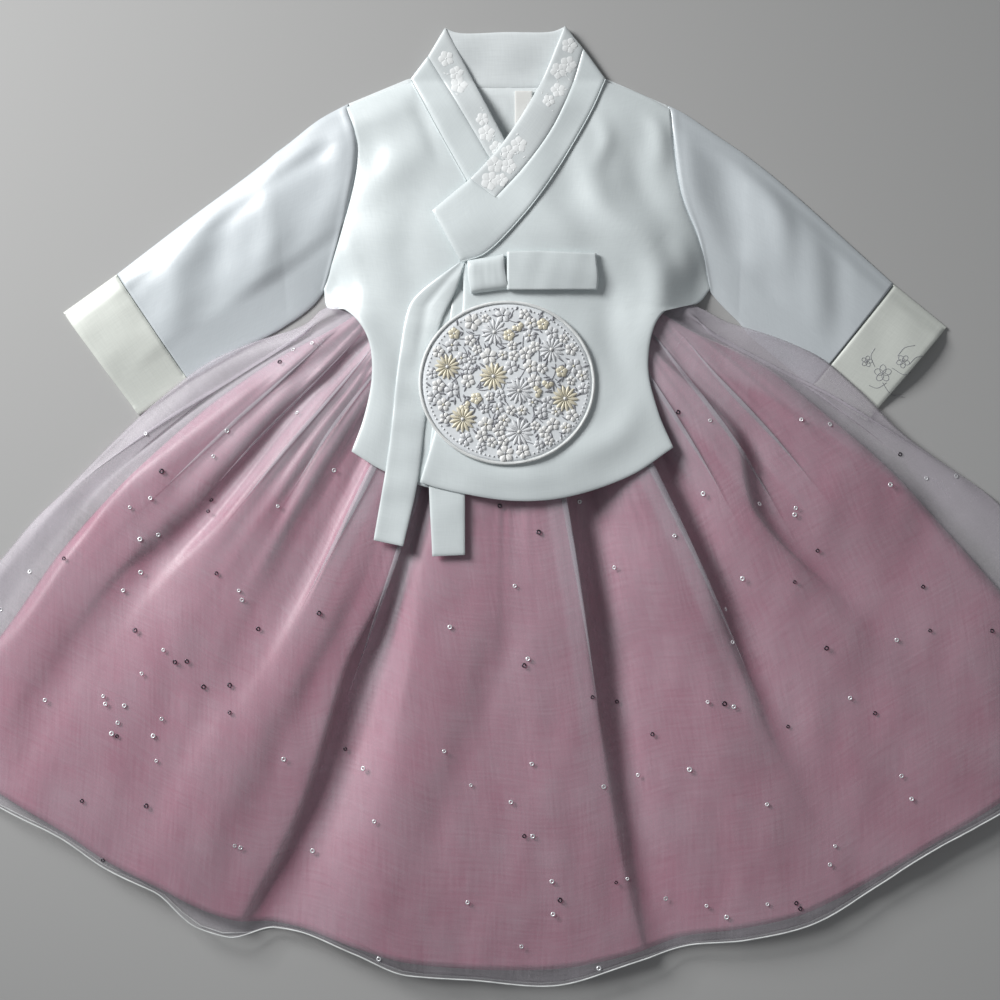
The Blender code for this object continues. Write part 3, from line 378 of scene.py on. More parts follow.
def eased(x, xs, ys):
    """A smooth curve through a table: cubic between rows, level at each peak and dip."""
    xs, ys = np.asarray(xs, float), np.asarray(ys, float)
    steps = np.diff(ys, axis=0) / np.diff(xs).reshape((-1,) + (1,) * (ys.ndim - 1))
    slopes = np.zeros_like(ys)
    same = steps[:-1] * steps[1:] > 0
    harmonic = 2 * steps[:-1] * steps[1:] / np.where(same, steps[:-1] + steps[1:], 1.0)
    slopes[1:-1] = np.where(same, harmonic, 0.0)
    slopes[0], slopes[-1] = steps[0], steps[-1]
    x = np.clip(x, xs[0], xs[-1])
    k = np.clip(np.searchsorted(xs, x) - 1, 0, len(xs) - 2)
    span = xs[k + 1] - xs[k]
    t = (x - xs[k]) / span
    if ys.ndim > 1:
        t, span = t[..., None], span[..., None]
    return (ys[k] * (2 * t**3 - 3 * t**2 + 1) + ys[k + 1] * (3 * t**2 - 2 * t**3)
            + slopes[k] * span * (t**3 - 2 * t**2 + t) + slopes[k + 1] * span * (t**3 - t**2))


def smoothstep(x, low, high):
    """0 up to low, 1 from high on, and 3 t^2 - 2 t^3 between them."""
    way = np.clip((x - low) / (high - low), 0.0, 1.0)
    return way * way * (3 - 2 * way)


def ripple(x, y, seed, count, wave, lean=1.0):
    """Uneven swell of about unit height: a sum of sines of seeded directions and lengths.

    wave is their usual length, and lean above 1 draws them out along y.
    """
    draw = np.random.default_rng(seed)
    total = np.zeros(np.broadcast(x, y).shape)
    for _ in range(count):
        length = wave * draw.uniform(0.6, 1.7)
        turn, start = draw.uniform(0, 2 * math.pi, 2)
        total += np.sin(2 * math.pi * (x * math.cos(turn) + y * math.sin(turn) / lean) / length + start)
    return total / math.sqrt(count)


def creases(x, y, table):
    """Soft ridges and troughs: a bell across each crease's curve, fading out to its two ends."""
    total = np.zeros(np.shape(x))
    for x0, y0, x1, y1, x2, y2, width, height in table:
        line = curve(((x0, y0), (x1, y1), (x2, y2)), 25)
        fade = np.sin(np.linspace(0.12, math.pi - 0.12, 25)) ** 0.6
        bell = np.zeros(np.shape(x))
        for (px, py), strength in zip(line, fade):
            away = ((x - px) ** 2 + (y - py) ** 2) / width**2
            bell = np.maximum(bell, strength * np.exp(-away))
        total += CREASE_HEIGHT * height * bell
    return total


def front_height(x, y):
    """Under face of the jacket's front: low at shoulders and armpits, over the skirt between."""
    middle = np.interp(y, FRONT_WIDTHS[:, 0], FRONT_WIDTHS[:, 1])
    half = np.interp(y, FRONT_WIDTHS[:, 0], FRONT_WIDTHS[:, 2])
    side = 1 - np.minimum(np.abs(x - middle) / half, 1.0) ** 6
    profile = eased(y, FRONT_PROFILE[:, 0], FRONT_PROFILE[:, 1])
    line = np.array(SHOULDER_LINE)
    rolled = np.clip((np.interp(x, line[:, 0], line[:, 1]) - y) / SHOULDER_ROLL, 0.0, 1.0)
    rolled = rolled * (2 - rolled)
    for ax, ay in ARMPITS:
        rolled = rolled * (1 - np.exp(-((x - ax) ** 2 + (y - ay) ** 2) / ARMPIT_ROLL**2))
    base = (FRONT_EDGE_HEIGHT + (ARMHOLE_HEIGHT - FRONT_EDGE_HEIGHT) * rolled
            + (profile - ARMHOLE_HEIGHT) * side * rolled)
    swell = creases(x, y, FRONT_CREASES) + 0.35 * ripple(x, y, 7, 7, 46.0, 1.6)
    return base + swell * np.clip(rolled, 0.0, 1.0) * smoothstep(base, 2.0, 7.0)


def over_height(x, y):
    """Under face of the over front: above the under front at the left, down to its own seams."""
    return front_height(x, y) + WRAP_LEVEL * (1 - smoothstep(x, WRAP_FROM_X, WRAP_TO_X))


# ---- Meshes ----

EDGE_DROP = 0.35  # how far a panel's upper face comes down at its rim, as a share of its thickness


def mesh_object(name, points, faces, uv=None):
    """A smooth-shaded mesh from points in millimetres, face arrays, and a flat place per point."""
    mesh = bpy.data.meshes.new(name)
    corners = np.concatenate([np.asarray(f, np.int32).ravel() for f in faces])
    sizes = np.concatenate([np.full(len(f), np.shape(f)[1], np.int32) for f in faces])
    mesh.vertices.add(len(points))
    mesh.vertices.foreach_set("co", (np.asarray(points, float) * MM).astype(np.float32).ravel())
    mesh.loops.add(len(corners))
    mesh.loops.foreach_set("vertex_index", corners)
    mesh.polygons.add(len(sizes))
    mesh.polygons.foreach_set("loop_start", np.concatenate([[0], np.cumsum(sizes)[:-1]]).astype(np.int32))
    if uv is not None:
        layer = mesh.uv_layers.new(name="cloth")
        layer.data.foreach_set("uv", (np.asarray(uv, float)[corners] * MM).astype(np.float32).ravel())
    mesh.update(calc_edges=True)
    mesh.validate()
    mesh.shade_smooth()
    made = bpy.data.objects.new(name, mesh)
    bpy.context.scene.collection.objects.link(made)
    return made


def grid_quads(rows, columns, wrap=False, closed=False):
    """Quads of a grid of points, facing up where columns run to +X and rows to +Y.

    wrap joins its last column to the first, and closed its last row.
    """
    i, j = np.meshgrid(np.arange(rows - (not closed)), np.arange(columns - (not wrap)), indexing="ij")
    after, here, above = (j + 1) % columns, i * columns, (i + 1) % rows * columns
    return np.stack([here + j, here + after, above + after, above + j], axis=-1).reshape(-1, 4)


def flat_places(grid):
    """Where each point of the grid was on the flat cloth: its length along and across."""
    across = np.cumsum(np.linalg.norm(np.diff(grid, axis=1, prepend=grid[:, :1]), axis=-1), axis=1)
    along = np.cumsum(np.linalg.norm(np.diff(grid, axis=0, prepend=grid[:1]), axis=-1), axis=0)
    across -= across[:, [across.shape[1] // 2]]
    return np.stack([across, along], axis=-1)


def shell(name, top, bottom, bulge):
    """A closed wall of cloth between two grids, with a rounded rim that stands out by bulge."""
    rows, columns = top.shape[:2]
    index = np.arange(rows * columns).reshape(rows, columns)
    loop = np.concatenate([index[0, :-1], index[:-1, -1], index[-1, :0:-1], index[:0:-1, 0]])
    edge = 0.5 * (top.reshape(-1, 3)[loop] + bottom.reshape(-1, 3)[loop])
    steps = np.roll(edge, -1, axis=0) - np.roll(edge, 1, axis=0)
    out = np.column_stack([steps[:, 1], -steps[:, 0], np.zeros(len(loop))])
    edge = edge + bulge * out / (np.linalg.norm(out, axis=1)[:, None] + 1e-9)
    count, size = rows * columns, len(loop)
    rim, after = np.arange(size), (np.arange(size) + 1) % size
    quads = grid_quads(rows, columns)
    faces = [
        quads, quads[:, ::-1] + count,
        np.stack([loop[rim], 2 * count + rim, 2 * count + after, loop[after]], axis=1),
        np.stack([2 * count + rim, loop[rim] + count, loop[after] + count, 2 * count + after], axis=1),
    ]
    places = flat_places(top).reshape(-1, 2)
    uv = np.vstack([places, places, places[loop]])
    return mesh_object(name, np.vstack([top.reshape(-1, 3), bottom.reshape(-1, 3), edge]), faces, uv)


def patch(left, right, bottom, top):
    """Fill between four lines: the blend of both pairs of sides, less the blend of the corners.

    left and right run up from bottom's ends to top's, with as many points as the grid has rows.
    """
    def share(line):
        """How far along the line each of its points lies, from 0 to 1."""
        along = np.concatenate([[0.0], np.cumsum(np.linalg.norm(np.diff(line, axis=0), axis=1))])
        return along / along[-1]

    v = (0.5 * (share(left) + share(right)))[:, None, None]
    u = (0.5 * (share(bottom) + share(top)))[None, :, None]
    sides = (1 - u) * left[:, None] + u * right[:, None] + (1 - v) * bottom[None] + v * top[None]
    corners = ((1 - u) * (1 - v) * left[0] + u * (1 - v) * right[0]
               + (1 - u) * v * left[-1] + u * v * right[-1])
    return sides - corners


def between_sides(left, right, columns):
    """Fill between two sides whose ends are joined by straight lines."""
    bottom, top = (respaced((left[end], right[end]), columns) for end in (0, -1))
    return patch(left, right, bottom, top)


def laid_panel(name, flat, under_face, thickness):
    """A cut panel on the surface under_face(x, y), its rim rounded down over its outer rows."""
    x, y = flat[..., 0], flat[..., 1]
    height = under_face(x, y)
    rows, columns = height.shape
    ring = np.minimum(np.minimum(np.arange(rows), np.arange(rows)[::-1])[:, None],
                      np.minimum(np.arange(columns), np.arange(columns)[::-1])[None])
    lowered = EDGE_DROP * thickness * np.exp(-(ring / 0.9) ** 2)
    top = np.dstack([x, y, height + thickness - lowered])
    bottom = np.dstack([x, y, height + 0.3 * lowered])
    return shell(name, top, bottom, 0.3 * thickness)


def cord_mesh(name, path, radius, sides=8, closed=False, twist=0.0, strands=0):
    """A round cord carried along a path: each ring lies across the path's direction.

    strands give it that many lobes, which turn by twist radians for each millimetre of length.
    """
    path = np.asarray(path, float)
    if closed:
        ahead = np.roll(path, -1, axis=0) - np.roll(path, 1, axis=0)
    else:
        ahead = np.gradient(path, axis=0)
    ahead /= np.linalg.norm(ahead, axis=1)[:, None] + 1e-12
    side = np.column_stack([-ahead[:, 1], ahead[:, 0], np.zeros(len(path))])
    side /= np.linalg.norm(side, axis=1)[:, None] + 1e-12
    up = np.cross(side, ahead)
    along = np.concatenate([[0.0], np.cumsum(np.linalg.norm(np.diff(path, axis=0), axis=1))])
    turns = np.linspace(0, 2 * math.pi, sides, endpoint=False)
    size = np.full((len(path), sides), float(radius))
    if strands > 0:
        size *= 0.9 + 0.14 * np.abs(np.cos(0.5 * strands * (turns[None] + twist * along[:, None])))
    rings = (path[:, None] + size[..., None] * (np.cos(turns)[None, :, None] * side[:, None]
                                               + np.sin(turns)[None, :, None] * up[:, None]))
    uv = np.stack(np.broadcast_arrays(turns[None] * radius, along[:, None]), axis=-1)
    rows = len(path)
    faces = [grid_quads(rows, sides, wrap=True, closed=closed)[:, ::-1]]
    if not closed:
        faces.append(np.arange(sides)[None])
        faces.append(np.arange(sides)[None, ::-1] + (rows - 1) * sides)
    return mesh_object(name, rings.reshape(-1, 3), faces, uv.reshape(-1, 2))


def box_mm(node):
    """The two corners of a solid's box, in millimetres."""
    return [np.array(corner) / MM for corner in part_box(node)]


def give(piece, cloth, nodes, wall=0.0, offset=-1.0):
    """Finish a piece: its material, its wall if it is one surface, its body and nodes."""
    piece.data.materials.append(cloth)
    if wall:
        solid = piece.modifiers.new("wall", "SOLIDIFY")
        solid.thickness = wall * MM
        solid.offset = offset
        solid.use_rim = True
    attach(piece, BODY)
    if nodes:
        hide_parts(*nodes)
    return piece


# ---- Materials ----

MADE_CLOTHS = {}


def add(tree, kind, settings=(), links=()):
    """One node: settings are its own values or its inputs' values, links its inputs' sources."""
    made = tree.nodes.new(kind)
    for key, value in dict(settings).items():
        if isinstance(key, str) and hasattr(made, key):
            setattr(made, key, value)
        else:
            made.inputs[key].default_value = value
    for key, source in dict(links).items():
        tree.links.new(source, made.inputs[key])
    return made


def started(name):
    """A new material with an empty tree but for its shader and output."""
    made = bpy.data.materials.new(name)
    made.use_nodes = True
    tree = made.node_tree
    return made, tree, tree.nodes["Principled BSDF"]


def ranged(tree, source, low, high, to_low=0.0, to_high=1.0):
    """The source, with its range from low to high carried over to another range."""
    limits = {"From Min": low, "From Max": high, "To Min": to_low, "To Max": to_high}
    return add(tree, "ShaderNodeMapRange", limits, {"Value": source}).outputs[0]


def combined(tree, operation, sources, *numbers, clamp=False):
    """A sum or product of the sources, and of the numbers that follow them."""
    settings = {"operation": operation, "use_clamp": clamp}
    settings.update({len(sources) + k: number for k, number in enumerate(numbers)})
    return add(tree, "ShaderNodeMath", settings, dict(enumerate(sources))).outputs[0]


def clouds(tree, where, scale, **settings):
    """Soft noise over the piece, fixed to its own axes."""
    return add(tree, "ShaderNodeTexNoise", {"Scale": scale, **settings},
               {"Vector": where.outputs["Object"]}).outputs[0]


def paint(tree, shader, share, dark, light):
    """The shader's colour: from dark to light by the share."""
    mixed = add(tree, "ShaderNodeMix", {"data_type": "RGBA"}, {0: share})
    mixed.inputs[6].default_value = (*dark, 1.0)
    mixed.inputs[7].default_value = (*light, 1.0)
    tree.links.new(mixed.outputs[2], shader.inputs["Base Color"])


def relief(tree, shader, height, height_mm):
    """The shader's bump: height_mm from the lowest place of height to its highest."""
    bumps = add(tree, "ShaderNodeBump", {"Strength": 1.0, "Distance": height_mm * MM}, {"Height": height})
    tree.links.new(bumps.outputs[0], shader.inputs["Normal"])


def with_inputs(made, shader, **settings):
    """The material, with the shader's plain inputs set: underscores stand for spaces."""
    for key, value in settings.items():
        shader.inputs[key.replace("_", " ")].default_value = value
    return made


def threads(tree, along_mm, across_mm):
    """Uneven threads: the mean of a noise drawn out along v and of one drawn out along u."""
    where = add(tree, "ShaderNodeTexCoord")
    found = []
    for u_mm, v_mm in ((across_mm, along_mm), (along_mm, across_mm)):
        laid = add(tree, "ShaderNodeMapping", {"Scale": (1 / (u_mm * MM), 1 / (v_mm * MM), 1.0)},
                   {"Vector": where.outputs["UV"]})
        found.append(add(tree, "ShaderNodeTexNoise", {"Scale": 1.0, "Detail": 1.0, "Roughness": 0.4},
                         {"Vector": laid.outputs["Vector"]}))
    both = combined(tree, "ADD", [noise.outputs[0] for noise in found])
    return where, combined(tree, "MULTIPLY", [both], 0.5)


def woven(name, colour, roughness, sheen, thread_mm, grain, bump, shade, gloss=0.5):
    """Woven cloth: thread noise in colour, roughness and bump, over a slow drift of tone.

    thread_mm is how far apart its threads are drawn, grain how much of the tone they carry, bump
    their height in mm, and shade how much darker the dark ones are.
    """
    made, tree, shader = started(name)
    where, weave = threads(tree, 14 * thread_mm, thread_mm)
    drift = clouds(tree, where, 22.0, Detail=2.0)
    grainy = combined(tree, "MULTIPLY_ADD", [ranged(tree, weave, 0.3, 0.7)], grain, 0.5 - 0.5 * grain)
    drifting = combined(tree, "MULTIPLY_ADD", [ranged(tree, drift, 0.3, 0.7)], 0.35, -0.175)
    share = combined(tree, "ADD", [grainy, drifting], clamp=True)
    dark = [c * (1 - shade) for c in colour]
    light = [min(1.0, c * (1 + 0.5 * shade)) for c in colour]
    paint(tree, shader, share, dark, light)
    rough = ranged(tree, weave, 0.3, 0.7, roughness - 0.05, roughness + 0.07)
    tree.links.new(rough, shader.inputs["Roughness"])
    relief(tree, shader, weave, bump)
    return with_inputs(made, shader, Sheen_Weight=sheen, Sheen_Roughness=0.35, Specular_IOR_Level=gloss)


def organza(name, colour, roughness, cover, streak):
    """Sheer plain weave: its yarns stop a share of the light, cover, give or take streak."""
    made, tree, shader = started(name)
    where, weave = threads(tree, 30.0, 1.6)
    both = combined(tree, "ADD", [weave, clouds(tree, where, 26.0, Detail=2.0)])
    yarns = ranged(tree, both, 0.7, 1.3, cover - streak, cover + streak)
    crowded = add(tree, "ShaderNodeAttribute", {"attribute_name": "crowded"})
    total = add(tree, "ShaderNodeMath", {"operation": "MULTIPLY_ADD", 1: CROWDED_COVER},
                {0: crowded.outputs["Fac"], 2: yarns})
    tree.links.new(total.outputs[0], shader.inputs["Alpha"])
    relief(tree, shader, weave, 0.05)
    return with_inputs(made, shader, Base_Color=(*colour, 1.0), Roughness=roughness,
                       Sheen_Weight=0.15, Sheen_Roughness=0.3)


def floss(name, colour, roughness, metallic=0.0, sheen=0.3, bump=0.12):
    """Floss laid in satin stitch: fine parallel strands that catch the light in lines.

    Its strands are 0.35 mm wide, and drawn 0.7 mm wide to show.
    """
    made, tree, shader = started(name)
    where = add(tree, "ShaderNodeTexCoord")
    laid = add(tree, "ShaderNodeMapping", {"Scale": (1 / (0.7 * MM), 1 / (9 * MM), 1.0)},
               {"Vector": where.outputs["UV"]})
    strand = add(tree, "ShaderNodeTexNoise", {"Scale": 1.0, "Detail": 0.0},
                 {"Vector": laid.outputs["Vector"]}).outputs[0]
    paint(tree, shader, ranged(tree, strand, 0.35, 0.65), [c * 0.78 for c in colour], colour)
    relief(tree, shader, strand, bump)
    return with_inputs(made, shader, Roughness=roughness, Metallic=metallic, Sheen_Weight=sheen)


def foil(name, colour, roughness, metallic):
    """Vacuum-metallised film: more or less of a mirror, slightly clouded."""
    made, tree, shader = started(name)
    cloud = clouds(tree, add(tree, "ShaderNodeTexCoord"), 900.0)
    rough = ranged(tree, cloud, 0.0, 1.0, roughness, roughness + 0.12)
    tree.links.new(rough, shader.inputs["Roughness"])
    return with_inputs(made, shader, Base_Color=(*colour, 1.0), Metallic=metallic)


# Each cloth or thread: how its material is made, the setting its colour comes from, and the rest.
CLOTHS = {
    # Polyester duchess satin: long floats of bright warp give a wide soft gloss.
    # Warp 0.12 mm apart, drawn 0.9 mm apart as the faint grain that the light picks out.
    "duchess_satin": (woven, "jacket", dict(roughness=0.33, sheen=0.12, thread_mm=0.9, grain=0.8,
                                            bump=0.045, shade=0.045, gloss=0.9)),
    # The jacket's satin with its warp along the arm, in a greyer, darker colour: painted shade for the
    # lesser light on the sleeves.
    "sleeve_satin": (woven, "sleeves", dict(roughness=0.36, sheen=0.12, thread_mm=0.9, grain=0.8,
                                            bump=0.045, shade=0.05, gloss=0.8)),
    # The same satin cut on the bias round a thin cord, drawn tight and smooth.
    "piping_satin": (woven, "jacket", dict(roughness=0.38, sheen=0.1, thread_mm=1.1, grain=0.2,
                                           bump=0.0, shade=0.04)),
    # Taffeta under the embroidery, in the shade of the raised threads: matter than satin.
    "round_taffeta": (woven, "round_ground", dict(roughness=0.55, sheen=0.1, thread_mm=0.8, grain=0.6,
                                                  bump=0.04, shade=0.10)),
    # Acetate lining satin: the same weave as the jacket's, duller and thinner.
    "satin_lining": (woven, "lining", dict(roughness=0.52, sheen=0.1, thread_mm=1.2, grain=0.6,
                                           bump=0.04, shade=0.08)),
    # Silk-look satin of the cuffs, warmer than the jacket, with a slub that dulls its gloss.
    "ivory_satin": (woven, "cuffs", dict(roughness=0.42, sheen=0.12, thread_mm=1.0, grain=0.7,
                                         bump=0.06, shade=0.07)),
    # Jacquard ground: satin weave, a little darker than its raised flowers.
    "brocade_ground": (woven, "brocade", dict(roughness=0.36, sheen=0.1, thread_mm=0.9, grain=0.6,
                                              bump=0.04, shade=0.08)),
    # The figure of the jacquard: weft floats, whiter and matter than the ground.
    "brocade_figure": (woven, "figure", dict(roughness=0.6, sheen=0.2, thread_mm=0.6, grain=0.6,
                                             bump=0.08, shade=0.10)),
    # Crepe-back satin of the skirt: a broad soft gloss along the folds, with a fine grain.
    "pink_crepe_satin": (woven, "skirt", dict(roughness=0.44, sheen=0.25, thread_mm=1.0, grain=0.8,
                                              bump=0.08, shade=0.07, gloss=0.8)),
    # Plain-woven cotton of the waistband: matt, with a visible grain.
    "cotton_tape": (woven, "tape", dict(roughness=0.85, sheen=0.1, thread_mm=1.2, grain=0.9,
                                        bump=0.12, shade=0.12)),
    # Polyester taffeta of the blank label: smooth and nearly matt.
    "label_taffeta": (woven, "tape", dict(roughness=0.6, sheen=0.0, thread_mm=0.8, grain=0.5,
                                          bump=0.03, shade=0.05)),
    # Nylon organza, a plain weave of fine stiff yarn: mostly holes, so its threads veil what is
    # under it.  The yarns stand 0.25 mm apart, drawn 1.6 mm apart to show as a faint grain.
    "nylon_organza": (organza, "organza", dict(roughness=0.5, cover=0.11, streak=0.05)),
    # Rayon embroidery floss: silver-white and pearl-white, glossy along the stitch.
    "silver_floss": (floss, "floss", dict(roughness=0.42)),
    "pearl_floss": (floss, "pearl_floss", dict(roughness=0.36)),
    # Pale gold thread: a metal foil wound on a core, so it glints more than floss.
    "gold_floss": (floss, "gold_floss", dict(roughness=0.4, metallic=0.12, sheen=0.1)),
    # Grey lustrous thread of twigs and leaves, which draws the pattern's dark lines.
    "leaf_floss": (floss, "leaf_floss", dict(roughness=0.42, metallic=0.1)),
    # Twisted rayon cord: its strands stand out as fine slanting ridges.
    "white_cord": (floss, "cord", dict(roughness=0.5, bump=0.2)),
    # Sequin film, polyester metallised under vacuum: one mirror film, drawn as white rings whose colour is
    # a painted glint of the lights, and as dark rings whose colour is a painted dark reflection.
    "bright_sequin": (foil, "bright_sequin", dict(roughness=0.2, metallic=0.35)),
    "dark_sequin": (foil, "dark_sequin", dict(roughness=0.25, metallic=0.8)),
}


def cloth(key):
    """The material of that name, made once, in the panel's colour for it."""
    if key not in MADE_CLOTHS:
        make, colour, settings = CLOTHS[key]
        MADE_CLOTHS[key] = make(key, getattr(bpy.context.scene.hanbok_colours, colour), **settings)
    return MADE_CLOTHS[key]


# ---- Skirt ----

def skirt_edge(way, column):
    """One of the columns of SKIRT_EDGES, eased between its rows."""
    return eased(way, SKIRT_EDGES[:, 0], SKIRT_EDGES[:, column])


def hem_radius(angle, column):
    """Radius of a hem: a smooth wave through the table's rows."""
    return eased(angle, HEM[:, 0], HEM[:, column])


def fan_places(angles, way, hem_column):
    """Places on the fan, from the straight waist to the wavy hem."""
    turn = np.radians(angles)
    waist = WAIST_RADIUS / np.cos(turn)
    radius = waist + way * (hem_radius(angles, hem_column) - waist)
    return FAN_CENTRE[0] + radius * np.sin(turn), FAN_CENTRE[1] - radius * np.cos(turn), radius


def row_radius(ways):
    """Radius of each row, on a skirt with a round waist and hem."""
    return WAIST_RADIUS + ways * (HEM_RADIUS - WAIST_RADIUS)


def fold_points(ways):
    """Angle and height of every fold line at each row, as (rows, folds, 2), in mm and degrees."""
    radius = row_radius(ways)
    high = FOLDS[:, 0]
    angles = np.column_stack([WAIST_NARROWING * high, NEXT_NARROWING * high, FOLDS[:, :5]])
    flat = np.full(len(FOLDS), GATHERED_HEIGHT)
    heights = np.column_stack([flat, 0.5 * (flat + FOLDS[:, 5]), FOLDS[:, 5:]])
    angles = eased(radius, FOLD_RADII, angles.T)
    heights = FOLD_HEIGHT * eased(radius, FOLD_RADII, heights.T)
    beside = np.pad(heights, ((0, 0), (2, 2)), mode="edge")
    mean = (beside[:, :-4] + 2 * beside[:, 1:-3] + 2 * beside[:, 2:-2] + 2 * beside[:, 3:-1]
            + beside[:, 4:]) / 8
    place = np.arange(len(FOLDS))
    softness = np.where((place < OPEN_FOLDS[0]) | (place > OPEN_FOLDS[1]),
                        OUTER_SOFTNESS, MIDDLE_SOFTNESS)
    share = softness[None] * (0.25 + 0.75 * smoothstep(radius, 230.0, 430.0))[:, None]
    return np.stack([angles, heights + share * (mean - heights)], axis=-1)


def skirt_rows():
    """Shares of the way from waist to hem: wide steps under the jacket, then even ones."""
    return np.concatenate([np.linspace(0.0, 0.13, 8, endpoint=False), np.linspace(0.13, 1.0, 94)])


def fold_columns(line, spacing):
    """Segment and share of each column of a cross-section, by the widest row of each stretch."""
    length = np.linalg.norm(np.diff(line, axis=1), axis=-1).max(axis=0)
    counts = np.maximum(3, np.round(length / spacing).astype(int))
    segment = np.repeat(np.arange(len(counts)), counts)
    share = np.concatenate([np.arange(n) / n for n in counts])
    return np.append(segment, len(counts) - 1), np.append(share, 1.0)


def skirt_front(ways):
    """Cross-sections of the lining's front: the angle and height of every column of every row.

    Each row is the smooth curve through its edge, its fold points and its other edge.
    """
    folds = fold_points(ways)
    radius = row_radius(ways)[:, None]
    left, right = skirt_edge(ways, 2)[:, None], skirt_edge(ways, 3)[:, None]
    flat = np.zeros_like(left)
    angles = np.concatenate([left, folds[..., 0], right], axis=1)
    heights = np.concatenate([flat, folds[..., 1], flat], axis=1)
    line = np.stack([np.radians(angles) * radius, heights], axis=-1)
    segment, share = fold_columns(line, 3.0)
    dense = through(line, segment, share)
    return np.degrees(dense[..., 0] / radius), dense[..., 1], radius


def pleated(angles, heights, radius):
    """Add the overlay's narrow pleats: each turns the cloth back on itself and on again.

    Along a row, s is the distance from the pleat's line.  The cloth moves by -turn w tanh(s/w), which
    runs backwards near the line, and its three layers are parted by -part tanh(s/w).  Yarns are
    crowded on the line, and over the doubled cloth beside it.
    """
    moved, lifted, crowded = angles.copy(), heights.copy(), np.zeros(angles.shape)
    for r0, a0, r1, a1, r2, a2, width in PLEATS:
        r = radius[:, 0]
        line = eased(r, (r0, r1, r2), (a0, a1, a2))[:, None]
        strength = (smoothstep(r, r0 - 40, r0) * (1 - smoothstep(r, 0.6 * r1 + 0.4 * r0, r2)))[:, None]
        s = np.radians(angles - line) * radius
        fade = np.exp(-(s / (4 * width)) ** 2)
        inward = -math.copysign(1.0, a1) * s
        crowded += LINE_COVER * strength**2 * np.exp(-(s / (1.6 * width)) ** 2)
        crowded += DOUBLED_COVER * strength * smoothstep(inward, -0.6 * width, 0.6 * width) * (
            1 - smoothstep(inward, DOUBLED_WIDTH - width, DOUBLED_WIDTH))
        moved -= np.degrees(PLEAT_TURN * width * strength * np.tanh(s / width) * fade / radius)
        lifted -= PLEAT_PART * strength * np.tanh(s / width) * fade
        lifted += PLEAT_PART * strength * np.exp(-(s / (2 * width)) ** 2)
    return moved, lifted, np.minimum(crowded, 1.0)


def gathers(angles, radius, height):
    """Fine gathers below the waist, which die out down the skirt."""
    fade = np.exp(-((radius - WAIST_RADIUS) / 150.0) ** 2)
    uneven = np.sin(np.radians(angles * 151.0)) + 0.7 * np.sin(np.radians(angles * 237.0) + 1.3)
    return height * fade * uneven


TENT_STEP = 0.1  # degrees between the places where the tent's height is kept
TENT_ANGLES = np.arange(-62.0, 62.0 + 0.5 * TENT_STEP, TENT_STEP)
TENT_NEAR, TENT_WIDE = (1, -1, 2, -2), (3, -3, 6, -6)  # steps by which its high points spread
TENT_REACH, TENT_SOFTNESS = 16, 7.0  # steps over which it is smoothed, and the width of that bell


def tent(angles, heights):
    """Height of cloth drawn over the lining's front, on TENT_ANGLES, row by row.

    It is the highest point at each angle, spread a little to both sides and then smoothed, so that it
    bridges narrow valleys, and is never below the lining.
    """
    steps = np.linspace(0.0, 1.0, 5)[:-1]
    made = np.zeros((len(angles), len(TENT_ANGLES)))
    for row in range(len(angles)):
        a = angles[row, :-1, None] * (1 - steps) + angles[row, 1:, None] * steps
        h = heights[row, :-1, None] * (1 - steps) + heights[row, 1:, None] * steps
        place = np.clip(np.round((a - TENT_ANGLES[0]) / TENT_STEP).astype(int), 0, len(TENT_ANGLES) - 1)
        np.maximum.at(made[row], place.ravel(), h.ravel())
    near = made
    for k in TENT_NEAR:
        near = np.maximum(near, np.roll(made, k, axis=1))
    wide = near
    for k in TENT_WIDE:
        wide = np.maximum(wide, np.roll(near, k, axis=1))
    reach = range(-TENT_REACH, TENT_REACH + 1)
    weights = np.exp(-(np.array(reach) / TENT_SOFTNESS) ** 2)
    smooth = sum(w * np.roll(wide, k, axis=1) for w, k in zip(weights, reach)) / weights.sum()
    return np.maximum(smooth, near)


def on_tent(made, angles):
    """The tent's height at any angles of each row."""
    at = np.clip((angles - TENT_ANGLES[0]) / TENT_STEP, 0, len(TENT_ANGLES) - 1.001)
    low = at.astype(int)
    rows = np.arange(len(made))[:, None]
    return made[rows, low] * (1 - at + low) + made[rows, low + 1] * (at - low)


SURFACES = {}  # the front of each skirt layer, as a grid of points
FRONTS = {}  # angles and heights of the lining's front, for the overlay to lie on


def lining_front(ways):
    """Angle and height of the lining's front, with its slow swell and gathers, below the jacket.

    Near the jacket a height comes up to the room there by room - p exp(-past / p), and no further.
    """
    angles, heights, radius = skirt_front(ways)
    x, y, _ = fan_places(angles, ways[:, None], 2)
    soft = 0.5 * ripple(x, y, 3, 8, 60.0, 2.0) + 0.22 * ripple(x, y, 5, 8, 24.0, 2.2)
    inner = np.clip(heights / 5.0, 0.0, 1.0)
    heights = heights + soft * inner + gathers(angles, radius, 1.2) * inner
    room = front_height(x, y) - skirt_edge(ways, 1)[:, None] - LINING_LEVEL - ROOM_FOR_OVERLAY
    past = heights - room + PRESSED_OVER
    pressed = room - PRESSED_OVER * np.exp(-np.maximum(past, 0.0) / PRESSED_OVER)
    heights = np.where(heights > room - PRESSED_OVER, pressed, heights)
    FRONTS["lining"] = (angles, heights)
    return angles, heights, np.zeros(heights.shape)


